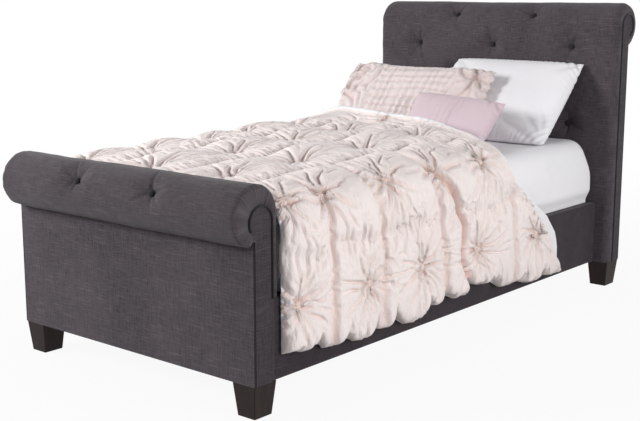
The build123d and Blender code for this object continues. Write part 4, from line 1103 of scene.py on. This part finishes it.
def comforter():
    """The comforter in one mesh: its ruched top, its lining, the rim between them and the rosettes."""
    cloth, base, out, knots, s, y, fold = quilt()
    every = QUILT_LINING_EVERY
    lining = (base + out * LINING_RISE * MM)[::every, ::every]
    flap_y = np.interp(s[-1], FLAP_EDGE_S, FLAP_EDGE_Y, left=y.min())
    lining[-1, :, 1] = np.maximum(lining[-1, :, 1], flap_y[::every])
    index = numbered(cloth.shape)
    under = numbered(lining.shape, index.size)
    top_faces = quads(index)
    under_faces = [face[::-1] for face in quads(under)]
    rim_faces = []
    for edge, lower, flip in ((index[0], under[0], False), (index[-1], under[-1], True),
                              (index[:, 0], under[:, 0], True), (index[:, -1], under[:, -1], False)):
        for place in range(len(lower) - 1):
            upper = edge[place * every:(place + 1) * every + 1].tolist()
            face = upper[::-1] + lower[place:place + 2].tolist()
            rim_faces.append(face[::-1] if flip else face)
    nubs, nub_faces, nub_painted_shade = rosettes(cloth, out, knots, s, y, index.size + under.size)
    points = np.concatenate([cloth.reshape(-1, 3), lining.reshape(-1, 3), nubs])
    # The fold mark carries painted shade: the quilt's, none on the lining, and the rosettes'
    depth = np.concatenate([fold.ravel(), np.zeros(under.size), nub_painted_shade])
    plain = np.zeros((under.size + len(nubs), 2))
    weave = np.concatenate([np.stack([s.ravel(), y.ravel()], axis=1), plain])
    to_knot, gather = drawn_to_knot(s, y, knots)
    to_knot = np.concatenate([to_knot.reshape(-1, 2), plain])
    gather = np.concatenate([gather.ravel(), plain[:, 0]])
    turned = (np.arange(len(s))[::-1, None] <= LINING_ROWS) & (np.abs(s) < LINING_TO_S)
    binding = turned[:-1, :-1].astype(int).ravel().tolist()
    finish = binding + [1] * (len(under_faces) + len(rim_faces)) + [0] * len(nub_faces)
    faces = top_faces + under_faces + rim_faces + nub_faces
    piece = add_piece("ruched_comforter", points, faces, [blush, white], "comforter", "blush_cotton", finish,
                      weave=weave, knot=to_knot, gather=gather, fold=depth)
    rim_from = len(top_faces) + len(under_faces)
    for face in piece.data.polygons[rim_from:rim_from + len(rim_faces)]:
        face.use_smooth = False
    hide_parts("comforter")


# Mattress and fitted sheet

MATTRESS_MIDDLE = (MATTRESS_LOW + MATTRESS_HIGH)[:2] / 2
MATTRESS_HALF = (MATTRESS_HIGH - MATTRESS_LOW)[:2] / 2
MATTRESS_CORNER = 45 * MM
MATTRESS_EDGE = 38 * MM
MATTRESS_SKIN = 0.6 * MM
FLAT_FROM, FLAT_MIDDLE = 8 * MM, 0.5 * MM
FLAT_RINGS, SHEET_FLAT_RINGS = 34, 36
BORDER_RINGS, BORDER_INSET, BORDER_GAP = 12, 2.2 * MM, 6 * MM
RING_CORNER_STEPS = 14
RING_CORNER_LEAST = 0.2 * MM
RING_STEP = 14 * MM
EDGE_STEPS = 9
PIPING, PIPING_RINGS, PIPING_INSET = 3.5 * MM, 7, 3.4 * MM
DIAMOND_PITCH = 0.26
DIAMOND_DEPTH = 5 * MM
DIAMOND_FADE = 60 * MM
DIAMOND_SHADE = 0.6
SHEET_EDGE = 52 * MM
SHEET_THICK, SHEET_SKIN = 1.5 * MM, 0.2 * MM
SHEET_SIDE_RINGS = 24
SHEET_HEM_TURN = 6 * MM
SHEET_HEM_DROP = 6 * MM
SHEET_HEM_FOLD = 0.4 * MM
SHEET_HEM_INSETS = (1.0 * MM, 1.4 * MM)
SHEET_BULGE, BULGE_LEAST = 24 * MM, 0.3
BULGE_GROWS, BULGE_SHRINKS = (0.03, 0.22), (0.45, 1.0)
SHEET_CORNERS, CORNERS_GROW = (24 * MM, 78 * MM), (0.35, 1.0)
SHEET_PULLS = ((1.0, (5, 88)), (0.6, (8, 170)))
PULL_SEAM = 8
PULL_LIMITS = (-1, 0.6)
PULL_GROWS, PULL_SHRINKS = (0, 0.12), (0.20, 0.255)
PULL_MM, PULL_SHADE = 0.9, 0.15
SAG_MM, SAG_CELLS = 1.4, (6, 60)
SAG_DROP, SAG_EDGE = 0.02, 0.1


def ring(centre, half, radius):
    """Places round a rounded rectangle, as many for every ring of one mattress."""
    radius = max(radius, RING_CORNER_LEAST)
    arcs = []
    for *signs, start in ((1, -1, -90), (1, 1, 0), (-1, 1, 90), (-1, -1, 180)):
        turn = np.radians(start + np.linspace(0, 90, RING_CORNER_STEPS + 1))
        arcs.append(signs * (half - radius) + radius * np.stack([np.cos(turn), np.sin(turn)], axis=1))
    outline = []
    for arc, following, side in zip(arcs, arcs[1:] + arcs[:1], (1, 0, 1, 0)):
        run = np.linspace(0, 1, int(2 * MATTRESS_HALF[side] / RING_STEP) + 1)[1:-1, None]
        outline += [arc, arc[-1] + (following[0] - arc[-1]) * run]
    return centre + np.concatenate(outline)


def ringed(half, levels):
    """Rings at each level's inset and height, swollen lower down and rounder at the corners higher up."""
    up = (np.array([z for _, z in levels]) - SHEET_LOW[2]) / (SHEET_HIGH[2] - SHEET_LOW[2])
    grown = BULGE_LEAST + (1 - BULGE_LEAST) * smooth_step(up, *BULGE_GROWS)
    bulge = SHEET_BULGE * grown * (1 - smooth_step(up, *BULGE_SHRINKS))
    corners = SHEET_CORNERS[0] + (SHEET_CORNERS[1] - SHEET_CORNERS[0]) * smooth_step(up, *CORNERS_GROW)
    rings = []
    for (inset, z), wider, radius in zip(levels, bulge, corners):
        outline = ring(MATTRESS_MIDDLE, half - inset + np.array([wider, 0.0]), radius - inset)
        rings.append(np.concatenate([outline, np.full((len(outline), 1), z)], axis=1))
    return np.stack(rings)


def edge_levels(z, radius, rising):
    """A rounded edge between a side and a flat face at height z."""
    turn = np.linspace(0, pi / 2, EDGE_STEPS + 1)
    sign = 1 if rising else -1
    levels = [(radius * (1 - cos(a)), z - sign * radius * (1 - sin(a))) for a in turn]
    return levels if rising else levels[::-1]


def mattress():
    """The mattress: quilted top and bottom, piped edges and a plain border."""
    low_z, high_z = MATTRESS_LOW[2], MATTRESS_HIGH[2]
    top_edge = SHEET_EDGE - SHEET_THICK
    low_seam, high_seam = low_z + MATTRESS_EDGE, high_z - top_edge

    def piping(z):
        turns = np.linspace(pi, 0, PIPING_RINGS)
        return [(PIPING_INSET - PIPING * sin(turn), z + PIPING * cos(turn)) for turn in turns]

    flat = np.linspace(top_edge + FLAT_FROM, MATTRESS_HALF[0] - FLAT_MIDDLE, FLAT_RINGS)
    bottom = [(inset, low_z + MATTRESS_SKIN) for inset in flat[::-1]]
    top = [(inset, high_z - MATTRESS_SKIN) for inset in flat]
    border = np.linspace(low_seam + BORDER_GAP, high_seam - BORDER_GAP, BORDER_RINGS)
    levels = (bottom + edge_levels(low_z, MATTRESS_EDGE, False) + piping(low_seam)
              + [(BORDER_INSET, z) for z in border] + piping(high_seam)
              + edge_levels(high_z, top_edge, True) + top)
    grid = ringed(MATTRESS_HALF, levels)
    across, along = (grid[..., axis] * 2 * pi / DIAMOND_PITCH for axis in (0, 1))
    diamond = np.abs(np.sin(across + along) * np.sin(across - along))
    inset_of = np.array([inset for inset, _ in levels])[:, None]
    on_flat = smooth_step(inset_of, top_edge, top_edge + DIAMOND_FADE)
    quilted = on_flat * (1 - diamond ** 0.5) * DIAMOND_DEPTH
    grid[..., 2] -= np.sign(grid[..., 2] - (low_z + high_z) / 2) * quilted
    # Painted shade in the quilted dimples, strongest where they are drawn in deepest
    fold = np.clip(quilted / DIAMOND_DEPTH, 0, 1) ** 2 * DIAMOND_SHADE
    piece = add_piece("mattress_quilted", grid, ring_faces(grid.shape), [ticking], "mattress",
                      "mattress_ticking", fold=fold)
    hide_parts("mattress")


def fitted_sheet():
    """White cotton stretched over the mattress, with soft pulls down its sides and round its corners."""
    rng = np.random.default_rng(SEED + 20)
    low, high = SHEET_LOW, SHEET_HIGH
    half = (high - low)[:2] / 2
    flat = np.linspace(half[0] - FLAT_MIDDLE, SHEET_EDGE + FLAT_FROM, SHEET_FLAT_RINGS)
    top = [(inset, high[2] - SHEET_SKIN) for inset in flat]
    edge = edge_levels(high[2], SHEET_EDGE, True)[::-1]
    hem_z = low[2] - SHEET_HEM_DROP
    side = [(0.0, z) for z in np.linspace(high[2] - SHEET_EDGE, hem_z, SHEET_SIDE_RINGS)[1:]]
    hem = list(zip(SHEET_HEM_INSETS, (hem_z - SHEET_HEM_FOLD, hem_z + SHEET_HEM_TURN)))
    levels = top + edge + side + hem
    grid = ringed(half, levels)
    shape = grid.shape[:2]
    below = high[2] - np.array([z for _, z in levels])[:, None]
    down = rise_and_fall(below, PULL_GROWS, PULL_SHRINKS)
    pulls = layered_noise(shape, SHEET_PULLS, rng)
    fade = np.linspace(1, 0, PULL_SEAM)
    pulls[:, -PULL_SEAM:] = pulls[:, -PULL_SEAM:] * fade + pulls[:, :1] * fade[::-1]
    outward = np.zeros(grid.shape)
    outward[..., :2] = grid[..., :2] - MATTRESS_MIDDLE
    corner = np.minimum(half[0] - np.abs(outward[..., 0]), half[1] - np.abs(outward[..., 1]))
    for axis in (0, 1):
        outward[..., axis] *= np.abs(outward[..., axis]) > half[axis] - MATTRESS_CORNER
    outward /= np.linalg.norm(outward, axis=-1, keepdims=True) + 1e-9
    grid += outward * (np.clip(pulls, *PULL_LIMITS) * PULL_MM * MM * down)[..., None]
    on_top = (1 - smooth_step(below, 0, SAG_DROP)) * smooth_step(corner, 0, SAG_EDGE)
    grid[..., 2] += on_top * SAG_MM * MM * (soft_noise(shape, SAG_CELLS, rng) - 1)
    # Painted shade in the hollows of the pulls down the sides
    piece = add_piece("fitted_sheet_cloth", grid, ring_faces(shape), [white], "mattress",
                      "white_cotton", fold=np.clip(-pulls * down, 0, 1) * PULL_SHADE)
    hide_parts("fitted_sheet")


# Pillows

PILLOW_STEP = 6.5 * MM
PILLOW_STEPS, PILLOW_QUICK_STEPS = 260, 40
PILLOW_PRESSURE = 0.06 * MM
PILLOW_PUSH_MOST = 1.2
PILLOW_START = 0.3
PILLOW_JITTER = 0.4 * MM
PILLOW_UNEVEN = ((0.10, (4, 5)), (0.04, (9, 12)))
PILLOW_RIM_THICK = 0.35
PILLOW_LIFT = 0.5 * MM
PILLOW_KNOT_SLACK = 0.01
PILLOW_KNOT_RISE = 0.45
PILLOW_KNOT_SHADE, PILLOW_KNOT_SHADE_REACH = 0.6, 16 * MM
PLAIN_FORM = {"slump": 0.0, "tuck": 0.0, "dome": 0.0, "frill": 0.0}
WHITE_PILLOW = {**PLAIN_FORM, "size": (600 * MM, 428 * MM, 124 * MM), "lean": 44, "fill": 0.5}
SHAM = {**PLAIN_FORM, "size": (710 * MM, 345 * MM, 104 * MM), "lean": 50, "dome": 5 * MM, "frill": 5 * MM,
        "fill": 0.6}
ACCENT = {**PLAIN_FORM, "size": (415 * MM, 235 * MM, 84 * MM), "lean": 52, "slump": 0.12, "tuck": 34 * MM,
          "dome": 6 * MM, "fill": 0.7}
FRILL_STEP = 42 * MM
FRILL_POWER = 9
RIM_HOLD = 0.5
SHAM_KNOTS = ((0.285, 0.115, 0.5), (-0.318, 0.130, 0.4), (-0.335, 0.045, 0.4))
SHAM_PANEL = 192 * MM
SHAM_PANEL_INSIDE = 0.92
SHAM_TUCKS = 10
TUCK_DEPTH = 7.5 * MM
TUCK_SWAY, TUCK_CELLS, TUCK_ROUNDNESS = 0.4, (5, 7), 0.8
TUCK_RIM_POWER = 0.4
SEAM_DEPTH = 2.5 * MM
PANEL_SEAM_WIDTH = 5 * MM
# Each crease's start and end on the panel
PILLOW_CREASES = ((0.29, -0.20, 0.10, -0.02), (0.29, -0.20, 0.17, 0.08), (0.27, -0.21, 0.00, -0.09),
                  (-0.29, 0.20, -0.12, 0.08), (0.29, 0.20, 0.18, 0.11))
PILLOW_CREASE_DEPTH = 5 * MM
PILLOW_CREASE_WIDTH, PILLOW_CREASE_NARROW = 11 * MM, 0.6
PILLOW_CREASE_GROWN, PILLOW_CREASE_FADES_AT = 0.2, 0.4
PILLOW_SHADE, PILLOW_SHADE_FROM = 0.4, 0.12


def creased(a, b, creases):
    """How far a panel is drawn in along short creases, each from one place to another and fading out."""
    drawn = np.zeros(a.shape)
    for start_a, start_b, end_a, end_b in creases:
        run = (end_a - start_a, end_b - start_b)
        length = np.hypot(*run)
        along, aside = (part / length for part in along_line(a - start_a, b - start_b, run))
        fade = rise_and_fall(along, (0, PILLOW_CREASE_GROWN * length),
                             (PILLOW_CREASE_FADES_AT * length, length))
        width = PILLOW_CREASE_WIDTH * (PILLOW_CREASE_NARROW + np.clip(along / length, 0, 1))
        drawn += PILLOW_CREASE_DEPTH * fade * bell(aside, width)
    return drawn


def tucked(a, b, height, tucks, crown, rng):
    """How far a sham's middle panel is drawn in by the tucks across it and the seams beside it."""
    inside = 1 - smooth_step(np.abs(a), SHAM_PANEL_INSIDE * SHAM_PANEL, SHAM_PANEL)
    phase = tucks * b / height + TUCK_SWAY * soft_noise(a.shape, TUCK_CELLS, rng)
    ridge = np.abs(np.sin(pi * phase)) ** TUCK_ROUNDNESS
    from_rim = crown ** TUCK_RIM_POWER
    seams = bell(np.abs(a) - SHAM_PANEL, PANEL_SEAM_WIDTH)
    return TUCK_DEPTH * ((1 - ridge) * inside * from_rim) + SEAM_DEPTH * seams * from_rim


def pillow(name, node, form, finish, slot, seed, knots=(), tucks=0, creases=()):
    """A stuffed pillow: two cloth panels sewn round their edge, filled, leaning, and resting on the bed."""
    rng = np.random.default_rng(seed)
    width, height, thick = form["size"]
    lean = radians(form["lean"])
    low, high = spread(node)
    middle = (low + high) / 2
    bed_z = SHEET_HIGH[2] + PILLOW_LIFT
    a_line = np.linspace(-width / 2, width / 2, int(width / PILLOW_STEP) + 1)
    b_line = np.linspace(-height / 2, height / 2, int(height / PILLOW_STEP) + 1)
    a, b = np.meshgrid(a_line, b_line)
    flat = np.stack([np.stack([a, b, 0 * a], axis=-1)] * 2)
    flat[..., 1] -= form["slump"] * (b + height / 2) * (a / width + 0.5)
    flat[..., 0] -= form["tuck"] * (a / width + 0.5) * (0.5 - b / height)
    flat[..., 1] += form["dome"] * (b / height + 0.5) * (1 - (2 * a / width) ** 2)
    flat[..., 0] += form["frill"] * np.sin(2 * pi * b / FRILL_STEP) * (2 * a / width) ** FRILL_POWER
    # A panel that bows out by half the thickness is longer than its flat height by this share
    slack = 8 / 3 * (thick / 2 / height) ** 2
    lengths = {step: length * (1 + slack) for step, length in thread_lengths(flat).items()}
    crown = np.sqrt(np.clip((1 - (2 * a / width) ** 2) * (1 - (2 * b / height) ** 2), 0, 1))
    side = np.array([1.0, -1.0])[:, None, None]
    start = flat.copy()
    start[..., 2] = side * (thick * PILLOW_START * crown)
    start[..., 2] += PILLOW_JITTER * rng.standard_normal(start.shape[:3]) * (crown > 0)
    if knots:
        drawn = gathered(lengths, a, b, knots, (), PILLOW_KNOT_SLACK)
        lengths = {step: np.stack([drawn[step][0], lengths[step][1]]) for step in lengths}
    distances = knot_distances(a, b, knots)
    pinned = (distances < KNOT_HELD).any(axis=0)
    uneven = layered_noise(a.shape, PILLOW_UNEVEN, rng)
    most = thick / 2 * (PILLOW_RIM_THICK + (1 - PILLOW_RIM_THICK) * crown) * (1 + uneven)
    rim = crown == 0
    rim_at = flat[:, rim].astype(np.float32)

    def settle(cloth):
        """Push the panels apart, keep them off the bed and sewn at the rim, and hold the knots down."""
        push = 1 - np.clip(cloth[..., 2] * side / most, 0, PILLOW_PUSH_MOST) ** 2
        cloth = cloth + normals(cloth) * (side * PILLOW_PRESSURE * push)[..., None].astype(np.float32)
        cloth[0][pinned, 2] = np.minimum(cloth[0][pinned, 2], PILLOW_KNOT_RISE * thick / 2)
        world_z = middle[2] + cloth[..., 1] * sin(lean) + cloth[..., 2] * cos(lean)
        under = np.clip(bed_z - world_z, 0, None)
        cloth[..., 1] += under * sin(lean)
        cloth[..., 2] += under * cos(lean)
        cloth[:, rim] += RIM_HOLD * (rim_at - cloth[:, rim])
        cloth[:, rim] = (cloth[0][rim] + cloth[1][rim]) / 2
        return cloth

    cloth = simulate(start, lengths, PILLOW_STEPS, settle)
    inward = creased(a, b, creases)
    if tucks:
        inward = inward + tucked(a, b, height, tucks, crown, rng)
    cloth[0] -= normals(cloth)[0] * inward[..., None]
    # Painted shade in the hollows of the panels, and round the knots
    fold = np.stack([hollow(rise) for rise in cloth[..., 2] * side])
    fold = PILLOW_SHADE * np.clip(fold - PILLOW_SHADE_FROM, 0, 1)
    for distance in distances:
        fold[0] = np.maximum(fold[0], PILLOW_KNOT_SHADE * bell(distance, PILLOW_KNOT_SHADE_REACH))
    # The back panel shares the front panel's points along the rim
    index = np.arange(2 * a.size).reshape(2, *a.shape)
    index[1][rim] = index[0][rim]
    used, renumbered = np.unique(index, return_inverse=True)
    front, back = renumbered.reshape(index.shape)
    faces = quads(front) + quads(back, flip=True)
    points = cloth.reshape(-1, 3)[used]
    weave = np.tile(np.stack([a.ravel(), b.ravel()], axis=1), (2, 1))[used]
    to_knot, gather = np.zeros(weave.shape), np.zeros(len(weave))
    if knots:
        to_knot, gather = drawn_to_knot(weave[:, 0], weave[:, 1], knots)
    world = np.zeros(points.shape)
    world[:, 0] = middle[0] + points[:, 0]
    world[:, 1] = middle[1] + points[:, 1] * cos(lean) - points[:, 2] * sin(lean)
    world[:, 2] = middle[2] + points[:, 1] * sin(lean) + points[:, 2] * cos(lean)
    world[:, 2] = np.maximum(world[:, 2], bed_z)
    piece = add_piece(name, world, faces, [finish], node, slot, weave=weave, knot=to_knot, gather=gather,
                      fold=fold.ravel()[used])
    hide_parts(node)


bpy.context.scene.view_settings.view_transform = "Standard"
add_camera()
add_world()
add_floor()
for lamp in LAMPS:
    add_light(*lamp)
dress_nodes()
head_pad()
foot_pad()
for hand_name, hand_side in (("left", -1), ("right", 1)):
    rail_padding(hand_name, hand_side)
mattress()
fitted_sheet()
comforter()
pillow("white_pillow_stuffed", "white_pillow", WHITE_PILLOW, white, "white_cotton", SEED + 30,
       creases=PILLOW_CREASES)
pillow("ruched_sham_stuffed", "ruched_sham", SHAM, sham_blush_painted_shade, "blush_cotton", SEED + 31, SHAM_KNOTS,
       SHAM_TUCKS)
pillow("accent_pillow_stuffed", "accent_pillow", ACCENT, sateen, "pink_sateen", SEED + 32)
